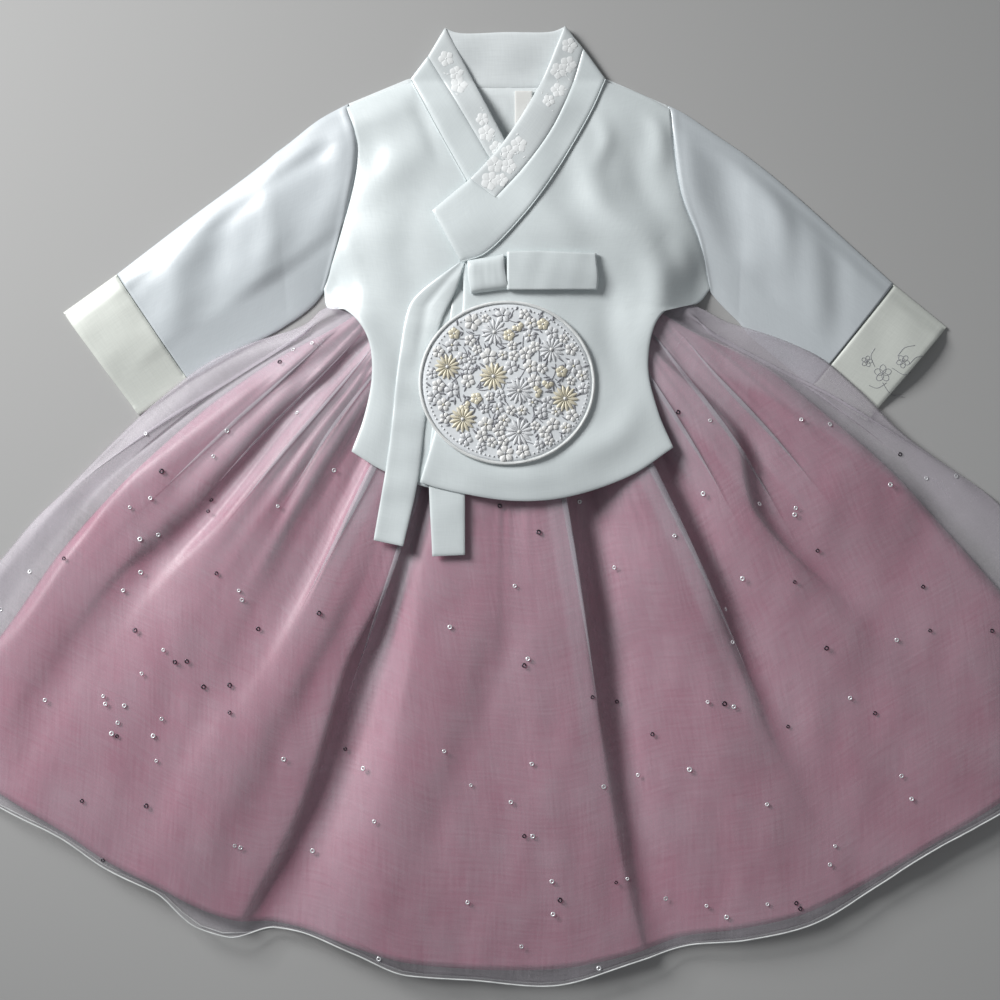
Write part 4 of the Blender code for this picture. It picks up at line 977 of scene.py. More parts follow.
def overlay_front(ways):
    """Angle, height and crowding of the overlay's front, drawn over the lining, and its margins."""
    over = tent(*FRONTS["lining"])
    left, right, outer_left, outer_right = (skirt_edge(ways, k)[:, None] for k in (2, 3, 4, 5))
    flat = outer_left + (outer_right - outer_left) * np.linspace(0.0, 1.0, OVERLAY_COLUMNS)[None]
    radius = row_radius(ways)[:, None]
    angles, parted, crowded = pleated(flat, np.zeros(flat.shape), radius)
    margin = np.maximum((left - flat) / (left - outer_left), (flat - right) / (outer_right - right))
    margin = np.clip(margin, 0.0, 1.0)
    wave = (1.8 + 1.3 * np.sin(ways * 23.0)[:, None]) * np.sin(math.pi * margin)
    x, y, _ = fan_places(angles, ways[:, None], 1)
    heights = (on_tent(over, angles) + OVERLAY_GAP + parted + wave - 2.2 * smoothstep(margin, 0.7, 1.0)
               + 0.25 * ripple(x, y, 11, 8, 38.0, 2.5))
    crowded = np.clip(crowded + GATHER_REACH * np.exp(-((radius - WAIST_RADIUS) / GATHER_FADE) ** 2)
                      + 0.9 * smoothstep(margin, 0.0, 0.5), 0.0, 1.0)
    return angles, heights, crowded


def skirt_layer(name, front_of, level, back_level, hem_column):
    """One layer of the skirt as a flattened ring: its front's folds, and its back lying flat."""
    ways = skirt_rows()
    angles, heights, crowded = front_of(ways)
    x, y, _ = fan_places(angles, ways[:, None], hem_column)
    rest = skirt_edge(ways, 1)[:, None]
    front = np.dstack([x, y, rest + level + heights])
    columns = 60
    turn = np.linspace(0.0, 1.0, columns + 2)[None, 1:-1]
    back_angles = angles[:, -1:] + (angles[:, :1] - angles[:, -1:]) * turn
    bx, by, _ = fan_places(back_angles, ways[:, None], hem_column)
    back = np.dstack([bx, by, np.broadcast_to(rest + back_level, bx.shape)])
    ring = np.concatenate([front, back], axis=1)[::-1]
    SURFACES[name] = front[::-1]
    rows, around = ring.shape[:2]
    made = mesh_object(name, ring.reshape(-1, 3), [grid_quads(rows, around, wrap=True)],
                       flat_places(ring).reshape(-1, 2))
    shares = np.zeros((rows, around))
    shares[:, :crowded.shape[1]] = crowded[::-1]
    layer = made.data.attributes.new("crowded", "FLOAT", "POINT")
    layer.data.foreach_set("value", shares.astype(np.float32).ravel())
    return made, ring


def hem_cord(name, ring, radius):
    """The rolled hem along a layer's last row, without the points that lie too close together."""
    line = ring[0]
    steps = np.linalg.norm(np.diff(line, axis=0, append=line[:1]), axis=1)
    return cord_mesh(name, line[steps > CLOSEST_HEM_STEP], radius, closed=True)


class HANBOK_OT_skirt_lining(bpy.types.Operator):
    """Build the pink satin skirt with its folds"""

    bl_idname = "hanbok.skirt_lining"
    bl_label = "Skirt lining"

    def execute(self, context):
        sizes = context.scene.hanbok_sizes
        skirt, _ = skirt_layer("skirt_lining", lining_front, LINING_LEVEL, 1.5, 2)
        give(skirt, cloth("pink_crepe_satin"), ("skirt_lining_front", "skirt_lining_back"),
             wall=sizes.lining_wall / MM)
        return {"FINISHED"}


class HANBOK_OT_skirt_overlay(bpy.types.Operator):
    """Build the organza overlay with its pleats and rolled hem"""

    bl_idname = "hanbok.skirt_overlay"
    bl_label = "Skirt overlay"

    def execute(self, context):
        sizes = context.scene.hanbok_sizes
        overlay, ring = skirt_layer("skirt_overlay", overlay_front, LINING_LEVEL, 0.4, 1)
        give(overlay, cloth("nylon_organza"), ("skirt_overlay_front", "skirt_overlay_back"),
             wall=sizes.organza_wall / MM)
        hem = hem_cord("overlay_hem", ring, sizes.hem_roll / MM)
        give(hem, cloth("white_cord"), ())
        return {"FINISHED"}


class HANBOK_OT_waistband(bpy.types.Operator):
    """Build the cotton waistband round the top of the skirt"""

    bl_idname = "hanbok.waistband"
    bl_label = "Waistband"

    def execute(self, context):
        low, high = box_mm("skirt_waistband")
        middle, half = 0.5 * (low + high), 0.5 * (high - low)
        rows, around = 13, 240
        turns = np.linspace(0, 2 * math.pi, around, endpoint=False)
        squared = [np.sign(f(turns)) * np.abs(f(turns)) ** 0.45 for f in (np.cos, np.sin)]
        along = np.linspace(high[1], low[1], rows)
        pucker = 0.35 * np.sin(turns * 61) * np.linspace(0.2, 1.0, rows)[:, None] ** 2
        x = middle[0] + (half[0] - 0.4 + pucker) * squared[0][None]
        z = middle[2] - 0.5 + (half[2] - 1.0 + pucker) * squared[1][None]
        ring = np.dstack([x, np.broadcast_to(along[:, None], x.shape), z])
        band = mesh_object("waistband", ring.reshape(-1, 3),
                           [grid_quads(rows, around, wrap=True)[:, ::-1]],
                           flat_places(ring).reshape(-1, 2))
        give(band, cloth("cotton_tape"), ("skirt_waistband",), wall=1.4)
        return {"FINISHED"}


# ---- Jacket ----

class HANBOK_OT_jacket_back(bpy.types.Operator):
    """Build the jacket's back, with its centre seam"""

    bl_idname = "hanbok.jacket_back"
    bl_label = "Jacket back"

    def execute(self, context):
        left = joined(curve(LEFT_VENT[::-1], 41), curve(LEFT_ARMHOLE[::-1], 41))
        right = joined(curve(RIGHT_VENT[::-1], 41), curve(RIGHT_ARMHOLE[::-1], 41))
        left[-1], right[-1] = (-118.6, 302.0), (123.6, 300.5)
        hem = curve(((-114.0, 40.0), (-60.0, 14.0), (4.0, 4.5), (70.0, 14.0), (125.0, 43.0)), 91)
        neck = respaced(((-118.6, 302.0), (-71.5, 321.5), (-66.0, 315.2), (2.0, 314.6),
                         (69.0, 315.2), (75.5, 321.5), (123.6, 300.5)), 91)
        seam_x = FAN_CENTRE[0]

        def lying(x, y):
            """Flat on the floor, but for the ridge and groove of the centre seam."""
            fold = np.exp(-((x - seam_x) / 0.7) ** 2) - 0.6 * np.exp(-((x - seam_x - 1.6) / 0.8) ** 2)
            return 0.1 + 0.25 * fold * smoothstep(y, 40.0, 60.0)

        back = laid_panel("jacket_back_cloth", patch(left, right, hem, neck), lying, 1.1)
        give(back, cloth("satin_lining"), ("jacket_back",))
        return {"FINISHED"}


class HANBOK_OT_jacket_fronts(bpy.types.Operator):
    """Build the two fronts, the right one wrapped over the left"""

    bl_idname = "hanbok.jacket_fronts"
    bl_label = "Jacket fronts"

    def execute(self, context):
        left = joined(curve(LEFT_VENT[::-1], 61), curve(LEFT_ARMHOLE[::-1], 61))
        right = joined(respaced(((18.0, 7.0), (18.0, 190.0)), 61),
                       respaced(((18.0, 190.0), (-24.0, 243.0), (-66.0, 319.0)), 61))
        shoulder = curve(((-119.0, 299.5), (-95.0, 309.5), (-66.0, 319.0)), 71)
        under = laid_panel("front_under_cloth", patch(left, right, curve(UNDER_HEM, 71), shoulder),
                           front_height, SATIN_WALL)
        give(under, cloth("duchess_satin"), ("jacket_front_under",))

        seam = [(x - 3.0, y + 3.0) for x, y in OVER_SEAM[::-1]]
        seam[0], seam[-1] = (-31.0, 180.0), (75.5, 319.0)
        left = joined(curve(OVER_EDGE, 76), curve(seam, 76))
        right = joined(curve(RIGHT_VENT[::-1], 76), curve(RIGHT_ARMHOLE[::-1], 76))
        shoulder = curve(((75.5, 319.0), (102.0, 309.5), (124.0, 298.0)), 101)
        over = laid_panel("front_over_cloth", patch(left, right, curve(OVER_HEM, 101), shoulder),
                          over_height, SATIN_WALL)
        give(over, cloth("duchess_satin"), ("jacket_front_over",))
        return {"FINISHED"}


# Order of a quad's corners that faces it outward: the two arms' rings run opposite ways round.
OUTWARD = {"left": (0, 3, 2, 1), "right": (3, 0, 1, 2)}


def sleeve_grid(top, under, full, armhole=None, outward=0.0, ways=None):
    """Upper and lower face of a flattened sleeve, as rings from its top edge round and back.

    Across, w goes from 0 at the top edge to 1 at the underarm.  The upper face stands at the
    profile's share of the full height, rounded down to the edges by the square root of 1 - (1 - t)^2.
    """
    upper = 0.5 - 0.5 * np.cos(np.linspace(0.0, math.pi, 61))
    lower = (0.5 - 0.5 * np.cos(np.linspace(0.0, math.pi, 31)))[-2:0:-1]
    w = np.concatenate([upper, lower])[None]
    is_upper = np.concatenate([np.ones(61), np.zeros(29)])[None]
    blend = np.clip(ways / ARMHOLE_REACH, 0.0, 1.0)[:, None]
    shares = (eased(w, SLEEVE_PROFILE[:, 0], SLEEVE_PROFILE[:, 1]) * (1 - blend)
              + eased(w, SLEEVE_PROFILE[:, 0], SLEEVE_PROFILE[:, 2]) * blend)
    x = top[:, :1] + w * (under - top)[:, :1]
    y = top[:, 1:] + w * (under - top)[:, 1:]
    swell = creases(x, y, SLEEVE_CREASES) + 0.3 * ripple(x, y, 13, 7, 44.0)
    middle = smoothstep(w, 0.04, 0.2) * (1 - smoothstep(w, 0.62, 0.74))
    rounded = np.sqrt(1 - (1 - np.minimum(np.minimum(w, 1 - w) / SLEEVE_EDGE, 1.0)) ** 2)
    high = SLEEVE_MIDDLE + (full[:, None] * shares - SLEEVE_MIDDLE) * rounded + swell * middle
    low = SLEEVE_MIDDLE - 0.7 * rounded
    z = np.where(is_upper > 0, np.maximum(high, SLEEVE_LEAST), low)
    if armhole is not None:
        seam = curve(armhole, 60)
        seam_x = np.interp(-y, -seam[:, 1], seam[:, 0]) - outward * 0.8
        chord_x = top[:1, 0] + (y - top[:1, 1]) / (under - top)[:1, 1] * (under - top)[:1, 0]
        x = x + (seam_x - chord_x) * np.clip(1 - ways / ARMHOLE_REACH, 0.0, 1.0)[:, None]
        tuck = np.exp(-((ways * SLEEVE_LENGTH) / 1.6) ** 2)[:, None]
        z = z - is_upper * tuck * np.minimum(SEAM_DEPTH, np.maximum(z - 1.0, 0.0))
        ridge = np.exp(-((ways * SLEEVE_LENGTH - 4.0) / 2.6) ** 2)[:, None]
        z = z + is_upper * ridge * 0.5 * rounded
    return np.dstack([x, y, z])


class HANBOK_OT_sleeves(bpy.types.Operator):
    """Build both sleeves and their ivory cuffs"""

    bl_idname = "hanbok.sleeves"
    bl_label = "Sleeves and cuffs"

    def execute(self, context):
        for side, sleeve in SLEEVES.items():
            ways = np.concatenate([[0.0, 0.004, 0.009, 0.016, 0.025], np.linspace(0.035, 1.0, 96)])
            fine = np.round(ways * 1000).astype(int)
            top, under = (curve(sleeve[edge], 1001)[fine] for edge in ("top", "under"))
            full = eased(ways, SLEEVE_HEIGHTS[:, 0], SLEEVE_HEIGHTS[:, 1])
            ring = sleeve_grid(top, under, full, sleeve["armhole"], sleeve["outward"], ways)
            turned = OUTWARD[side]
            # The sleeves take the darker copy of the jacket's satin: painted shade.
            self.finish(ring, turned, "sleeve_" + side, "sleeve_satin", "satin", (0.25, 0.21), 0.038)

            end = np.array(sleeve["cuff_end"])
            steps = np.concatenate([[0.0, 0.012, 0.03], np.linspace(0.06, 0.94, 34), [0.97, 0.99, 1.0]])
            along = (0.006 + steps * 0.994)[:, None]
            top = top[-1] + along * (end[0] - top[-1])
            under = under[-1] + along * (end[1] - under[-1])
            full = 8.2 - 0.5 * steps
            ring = sleeve_grid(top, under, full, ways=np.ones(len(steps)))
            seam = (1.3 * np.exp(-(steps * CUFF_WIDTH / 1.1) ** 2)
                    + 0.9 * np.exp(-((1 - steps) * CUFF_WIDTH / 1.2) ** 2))
            ring[..., 2] -= np.where(ring[..., 2] > 2.0, seam[:, None], 0.0)
            self.finish(ring, turned, "cuff_" + side, "ivory_satin", "cuff_satin", (0.20, 0.052), 0.0100)
        return {"FINISHED"}

    def finish(self, ring, turned, node, cloth_key, slot, flat, area):
        """A tube of cloth from its rings, open at both ends, with its faces outward."""
        rows, around = ring.shape[:2]
        quads = grid_quads(rows, around, wrap=True)[:, turned]
        made = mesh_object(node + "_cloth", ring.reshape(-1, 3), [quads], flat_places(ring).reshape(-1, 2))
        give(made, cloth(cloth_key), (node,), wall=1.0)


# ---- Collar ----

class HANBOK_OT_collar(bpy.types.Operator):
    """Build the collar bands, their brocade strips and the fine cord in their seams"""

    bl_idname = "hanbok.collar"
    bl_label = "Collar"

    def execute(self, context):
        self.behind()
        under_strip = self.under()
        over_strip = self.over()
        self.flowers(over_strip, under_strip)
        return {"FINISHED"}

    def behind(self):
        """The band behind the neck, seen from inside: a roll at its top, over a seam."""
        left = respaced(((-70.0, 316.0), (-58.0, 338.0), LEFT_PEAK), 31)
        right = respaced(((73.5, 316.0), (59.0, 343.0), RIGHT_PEAK), 31)
        bottom = curve(((-70.0, 316.0), (-24.0, 314.6), (2.0, 314.2), (28.0, 314.6), (73.5, 316.0)), 61)
        top = curve((LEFT_PEAK, (-36.0, 355.5), (2.0, 356.0), (36.0, 356.5), RIGHT_PEAK), 61)

        def lying(x, y):
            """A roll that rises to the top, fine gathers below it, and the groove of the seam."""
            roll = 2.2 * smoothstep(y, 322.0, 350.0)
            fan = (0.45 * np.sin(x / 7.0 + 1.0) * smoothstep(y, 316.0, 334.0)
                   * (1 - smoothstep(y, 340.0, 356.0)))
            seam = -0.5 * np.exp(-((y - 315.0) / 1.4) ** 2)
            return 0.25 + np.maximum(roll + fan + seam, -0.1)

        made = laid_panel("collar_back_cloth", patch(left, right, bottom, top), lying, 1.0)
        give(made, cloth("satin_lining"), ("collar_back",))

    def under(self):
        """The left band and its strip, which end under the right ones."""
        inner = curve(UNDER_STRIP_EDGE, 41)[::-1]
        outer = curve(UNDER_SEAM, 41)[::-1]
        low = np.array(((-20.0, 228.0), (-4.0, 249.0)))
        band_left = joined(respaced((low[0], outer[0]), 6), outer)
        band_right = joined(respaced((low[1], inner[0]), 6), inner)
        flat = patch(band_left, band_right, respaced(low, 15), respaced((outer[-1], inner[-1]), 15))

        def lift(x, y):
            """On the under front."""
            return front_height(x, y) + UNDER_LEVEL

        band = laid_panel("collar_under_band_cloth", flat, lift, BAND_WALL)
        give(band, cloth("duchess_satin"), ("collar_under_band",))

        neck = curve((NECK_POINT, (-22.5, 316.0), LEFT_PEAK), 41)
        left = joined(respaced(((-3.0, 250.0), inner[0]), 6), inner) + (0.35, 0.2)
        right = joined(respaced(((4.0, 262.0), neck[0]), 6), neck)
        strip = between_sides(left, right, 15)
        made = laid_panel("collar_under_strip_cloth", strip, lift, BAND_WALL)
        give(made, cloth("brocade_ground"), ("collar_under_strip",))

        line = curve(UNDER_SEAM, 90) + (-0.9, -0.4)
        height = front_height(line[:, 0], line[:, 1]) + SATIN_WALL + 0.5
        cord = cord_mesh("under_collar_piping", np.column_stack([line, height]), 0.55)
        give(cord, cloth("piping_satin"), ())
        return strip

    def over(self):
        """The right band with its square end, and its strip, which folds over at the neck."""
        outer = curve(OVER_SEAM[::-1], 106)
        inner_line = curve(OVER_STRIP_EDGE[::-1], 71)
        left = respaced(SQUARE_END[:2], 21)
        top = joined(respaced(SQUARE_END[1:3], 22), respaced(SQUARE_END[2:], 15), inner_line)
        right = respaced(((75.0, 321.0), (59.0, 343.0)), 21)
        flat = patch(left, right, respaced(outer, len(top)), top)

        def lift(x, y):
            """On the over front."""
            return over_height(x, y) + OVER_LEVEL

        band = laid_panel("collar_over_band_cloth", flat, lift, BAND_WALL)
        give(band, cloth("duchess_satin"), ("collar_over_band",))

        neck = curve((RIGHT_PEAK, (26.0, 315.0), NECK_POINT, (-14.0, 256.0), (-25.5, 244.0)), 71)[::-1]
        low = inner_line + (-0.35, 0.25)
        strip = patch(respaced((low[0], neck[0]), 17), respaced((low[-1], neck[-1]), 17), low, neck)
        made = laid_panel("collar_over_strip_cloth", strip, lift, BAND_WALL)
        give(made, cloth("brocade_ground"), ("collar_over_strip",))

        line = curve(OVER_SEAM, 300) + (0.75, -0.4)
        height = over_height(line[:, 0], line[:, 1]) + SATIN_WALL + 1.3
        cord = cord_mesh("over_collar_piping", np.column_stack([line, height]), 0.5)
        give(cord, cloth("piping_satin"), ())
        return strip

    def flowers(self, over_strip, under_strip):
        """Raised blossoms and leaves of the brocade, scattered along both strips."""
        draw = np.random.default_rng(21)
        parts = []
        for strip, lift, level, sprays in (
            (over_strip, over_height, OVER_LEVEL,
             ((0.06, 0.5, 6.0), (0.10, 0.28, 4.4), (0.14, 0.72, 5.4), (0.19, 0.4, 5.0), (0.24, 0.7, 4.6),
              (0.32, 0.55, 5.2), (0.62, 0.5, 4.0), (0.70, 0.35, 4.8), (0.78, 0.6, 5.2), (0.86, 0.4, 5.4),
              (0.94, 0.55, 5.0))),
            (under_strip.transpose(1, 0, 2), front_height, UNDER_LEVEL,
             ((0.14, 0.5, 4.6), (0.26, 0.45, 5.4), (0.36, 0.6, 4.2), (0.66, 0.45, 5.6), (0.74, 0.6, 4.6),
              (0.86, 0.5, 5.0))),
        ):
            last = np.array(strip.shape[:2]) - 1
            drawn = []
            for along, across, size in sprays:
                centre = strip[tuple(np.round(last * (across, along)).astype(int))]
                drawn += blossom(centre, 1.2 * size, 5, draw.uniform(0, 6.3), 0.3, 0.9, gap=0.16)
                drawn.append(bead(centre, 0.16 * size, 0.45))
                for _ in range(3):
                    beside, ahead = across + draw.uniform(-0.4, 0.4), along + draw.uniform(-0.05, 0.05)
                    place = np.clip((beside, ahead), 0.2, 0.8)
                    spot = strip[tuple(np.round(last * place).astype(int))]
                    drawn.append(petal(spot, draw.uniform(0, 6.3), 0.5 * size, 0.2 * size, 0.2, point=1.0))
            parts += all_lifted_on(drawn, lift, level + BAND_WALL)
        give(merged("brocade_flowers", parts), cloth("brocade_figure"), ())


# ---- Embroidery ----

def petal(base, turn, length, width, height, point=1.4):
    """A stitched petal: width follows sin(pi t^point), height a half ellipse across.

    Its stitches run along v, so u is the distance across.
    """
    rows, columns = 9, 7
    t = np.linspace(0.0, 1.0, rows)[:, None]
    s = np.linspace(-1.0, 1.0, columns)[None]
    half = 0.5 * width * np.sin(math.pi * np.clip(t, 0.02, 0.985) ** point) ** 0.7
    along = length * t + 0 * s
    across = half * s
    z = height * np.sqrt(np.maximum(1 - s**2, 0)) * np.sin(math.pi * np.clip(t, 0.05, 0.95)) ** 0.5 + 0.02
    x = base[0] + along * math.cos(turn) - across * math.sin(turn)
    y = base[1] + along * math.sin(turn) + across * math.cos(turn)
    top = np.dstack([x, y, z])
    uv = np.dstack([across, along]).reshape(-1, 2)
    return top.reshape(-1, 3), grid_quads(rows, columns)[:, ::-1], uv


def bead(centre, radius, height, sides=10):
    """A small dome: rings of a half sphere."""
    turns = np.linspace(0, 2 * math.pi, sides, endpoint=False)
    rise = np.radians((0.0, 30.0, 60.0, 84.0))
    x = centre[0] + radius * np.cos(rise)[:, None] * np.cos(turns)[None]
    y = centre[1] + radius * np.cos(rise)[:, None] * np.sin(turns)[None]
    z = height * np.sin(rise)[:, None] + 0 * x
    points = np.dstack([x, y, z]).reshape(-1, 3)
    uv = np.dstack([x - centre[0], y - centre[1]]).reshape(-1, 2)
    return points, grid_quads(4, sides, wrap=True), uv


def blossom(centre, radius, petals, turn, height, fat=1.0, gap=0.12, inner=0.0):
    """Petals set round a centre, from inner to radius: fat widens them, and gap parts them."""
    made = []
    width = fat * 2 * radius * math.sin(math.pi / petals) * (1 - gap)
    for k in range(petals):
        way = turn + 2 * math.pi * k / petals
        start = (centre[0] + inner * math.cos(way), centre[1] + inner * math.sin(way))
        made.append(petal(start, way, radius - inner, width, height))
    return made


def lifted_on(points, under_face, level):
    """The points again, standing on a surface."""
    raised = points.copy()
    raised[:, 2] += under_face(points[:, 0], points[:, 1]) + level
    return raised


def all_lifted_on(parts, under_face, level):
    """Parts, each as points, faces and flat places, standing on a surface."""
    return [(lifted_on(points, under_face, level), faces, uv) for points, faces, uv in parts]


def merged(name, parts):
    """One mesh from many small ones."""
    points, faces, places, start = [], [], [], 0
    for part_points, part_faces, part_uv in parts:
        points.append(part_points)
        faces.append(part_faces + start)
        places.append(part_uv)
        start += len(part_points)
    return mesh_object(name, np.vstack(points), [np.vstack(faces)], np.vstack(places))


def thread_line(points, radius, lift=0.0):
    """A laid thread: a low half-round ridge along a line of points in the plane."""
    line = np.asarray(points, float)
    ahead = np.gradient(line, axis=0)
    side = np.column_stack([-ahead[:, 1], ahead[:, 0]])
    side /= np.linalg.norm(side, axis=1)[:, None] + 1e-9
    turns = np.linspace(0.0, math.pi, 5)
    flat = line[:, None] + radius * np.cos(turns)[None, :, None] * side[:, None]
    z = np.broadcast_to(lift + 1.1 * radius * np.sin(turns)[None], flat.shape[:2])
    along = np.linspace(0.0, 1.0, len(line))[:, None] * np.linalg.norm(np.diff(line, axis=0), axis=1).sum()
    uv = np.stack(np.broadcast_arrays(turns[None] * radius, along), axis=-1)
    return np.dstack([flat, z]).reshape(-1, 3), grid_quads(len(line), 5)[:, ::-1], uv.reshape(-1, 2)


class HANBOK_OT_round(bpy.types.Operator):
    """Build the embroidered round on the front, with its flowers, stitches and cord"""

    bl_idname = "hanbok.embroidered_round"
    bl_label = "Embroidered round"

    def execute(self, context):
        low, high = box_mm("medallion")
        centre, half = 0.5 * (low + high)[:2], 0.5 * (high - low)[:2]
        ground = self.ground(centre, half)
        cord = self.cord(centre, half)
        self.stitches(centre, half)
        self.flowers(centre, half)
        return {"FINISHED"}

    def ground(self, centre, half):
        """The round of taffeta: two faces of rings about a middle point, and a rim."""
        rings, sides = 30, 120
        grow = np.linspace(0.03, 1.0, rings)[:, None]
        turns = np.linspace(0, 2 * math.pi, sides, endpoint=False)[None]
        x = centre[0] + half[0] * grow * np.cos(turns)
        y = centre[1] + half[1] * grow * np.sin(turns)
        base = over_height(x, y) + OVER_LEVEL
        edge = np.exp(-((1 - grow) * 60 / 1.4) ** 2)
        top = np.dstack([x, y, base + 1.5 - 0.7 * edge])
        bottom = np.dstack([x, y, base + 0 * x])
        count = rings * sides
        middle = np.array([[*centre, float(over_height(*centre)) + OVER_LEVEL + h] for h in (1.5, 0.0)])
        quads = grid_quads(rings, sides, wrap=True)[:, ::-1]
        k, after = np.arange(sides), (np.arange(sides) + 1) % sides
        last = (rings - 1) * sides
        tri_top = np.stack([np.full(sides, 2 * count), k, after], axis=1)
        tri_bottom = np.stack([np.full(sides, 2 * count + 1), after + count, k + count], axis=1)
        rim = np.stack([last + k, count + last + k, count + last + after, last + after], axis=1)
        points = np.vstack([top.reshape(-1, 3), bottom.reshape(-1, 3), middle])
        made = mesh_object("round_ground", points,
                           [quads, quads[:, ::-1] + count, rim, tri_top, tri_bottom],
                           points[:, :2])
        give(made, cloth("round_taffeta"), ("medallion",))
        return made

    def cord(self, centre, half):
        """The twisted cord just outside the round."""
        turns = np.linspace(0, 2 * math.pi, 420, endpoint=False)
        x, y = centre[0] + (half[0] + 1.1) * np.cos(turns), centre[1] + (half[1] + 1.1) * np.sin(turns)
        z = over_height(x, y) + OVER_LEVEL + 1.0
        made = cord_mesh("round_cord", np.column_stack([x, y, z]), 1.3, sides=12, closed=True,
                         twist=1.6, strands=3)
        give(made, cloth("white_cord"), ("medallion_piping",))
        return made

    def stitches(self, centre, half):
        """A ring of short raised stitches just inside the cord."""
        parts = []
        count = 112
        for k in range(count):
            way = 2 * math.pi * k / count
            spot = centre + (half - 3.4) * np.array((math.cos(way), math.sin(way)))
            parts.append(bead(spot, 0.75, 0.8, 8))
        made = merged("round_stitches", all_lifted_on(parts, over_height, OVER_LEVEL + 1.45))
        give(made, cloth("silver_floss"), ())

    def flowers(self, centre, half):
        """Blossoms, twigs and leaves, drawn on the round in shares of its half width."""
        draw = np.random.default_rng(5)
        pearl, silver, gold, leaf = [], [], [], []

        def place(u, v):
            """The place at those shares of the half width, across and up."""
            return centre + half * np.array((u, v))

        def scattered(reach):
            """Shares of the half width, even over the round out to that reach."""
            radius, way = reach * math.sqrt(draw.uniform()), draw.uniform(0, 2 * math.pi)
            return radius * math.cos(way), radius * math.sin(way)

        # Across and up in shares of the half width, size in mm, and 0 to 2 for gold or 3 for silver.
        daisies = ((-0.70, 0.20, 9.5, 0), (-0.16, 0.08, 10.5, 1), (0.68, -0.20, 10.0, 2),
                   (0.14, -0.10, 10.0, 3), (-0.15, 0.64, 10.0, 3), (0.52, 0.42, 9.5, 3),
                   (-0.52, -0.46, 10.0, 2), (0.14, -0.62, 10.5, 3))
        for u, v, size, kind in daisies:
            group = gold if kind < 3 else silver
            group += blossom(place(u, v), size, 14, draw.uniform(0, 6), 1.0, 0.66, inner=1.2)
            pearl.append(bead(place(u, v), 1.5, 1.5))
        small_gold = ((0.42, 0.74), (0.12, 0.72), (0.02, 0.60), (-0.62, 0.62), (-0.36, -0.20),
                      (-0.50, -0.28), (0.48, 0.0), (0.34, -0.12), (0.64, 0.14))
        for u, v in small_gold:
            group = blossom(place(u, v), 4.6, 5, draw.uniform(0, 6), 0.9, 0.95)
            gold += group[:3] if draw.uniform() < 0.4 else group
            pearl.append(bead(place(u, v), 1.0, 1.3))
        spots = []
        taken = [(u, v, s / ROUND_SPAN) for u, v, s, _ in daisies] + [(u, v, 0.08) for u, v in small_gold]
        for _ in range(2600):
            u, v = scattered(0.9)
            size = draw.uniform(3.6, 6.6) / ROUND_SPAN
            if all((u - a) ** 2 + (v - b) ** 2 > (0.86 * (size + c)) ** 2 for a, b, c in taken):
                taken.append((u, v, size))
                spots.append((u, v, size * ROUND_SPAN))
        for k, (u, v, size) in enumerate(spots):
            group = pearl if k % 3 else silver
            group += blossom(place(u, v), size, 5, draw.uniform(0, 6), 0.9, 0.78, inner=0.12 * size)
            (gold if k % 4 == 0 else leaf).append(bead(place(u, v), 0.8, 1.2))
        for _ in range(330):
            start, turn = place(*scattered(0.93)), draw.uniform(0, 2 * math.pi)
            leaf.append(petal(start, turn, draw.uniform(3.4, 6.4), draw.uniform(1.1, 1.9), 0.8, point=1.0))
        for _ in range(90):
            start, turn = place(*scattered(0.8)), draw.uniform(0, 2 * math.pi)
            reach, bend = draw.uniform(7.0, 13.0), draw.uniform(-0.6, 0.6)
            line = [start + reach * t * np.array((math.cos(turn + bend * t), math.sin(turn + bend * t)))
                    for t in (0.0, 0.35, 0.7, 1.0)]
            line = curve(line, 14)
            if np.linalg.norm((line - centre) / half, axis=1).max() < 0.94:
                leaf.append(thread_line(line, 0.36, 0.1))
        for name, parts, key, lift in (("round_leaves", leaf, "leaf_floss", 1.45),
                                       ("round_silver_flowers", silver, "silver_floss", 1.6),
                                       ("round_pearl_flowers", pearl, "pearl_floss", 1.7),
                                       ("round_gold_flowers", gold, "gold_floss", 1.8)):
            raised = all_lifted_on(parts, over_height, OVER_LEVEL + lift)
            give(merged(name, raised), cloth(key), ())


# ---- Ties ----

def ribbon_patch(left, right, rows, columns):
    """A ribbon between its two edges, given from its top to its end."""
    return between_sides(curve(left, rows)[::-1], curve(right, rows)[::-1], columns)


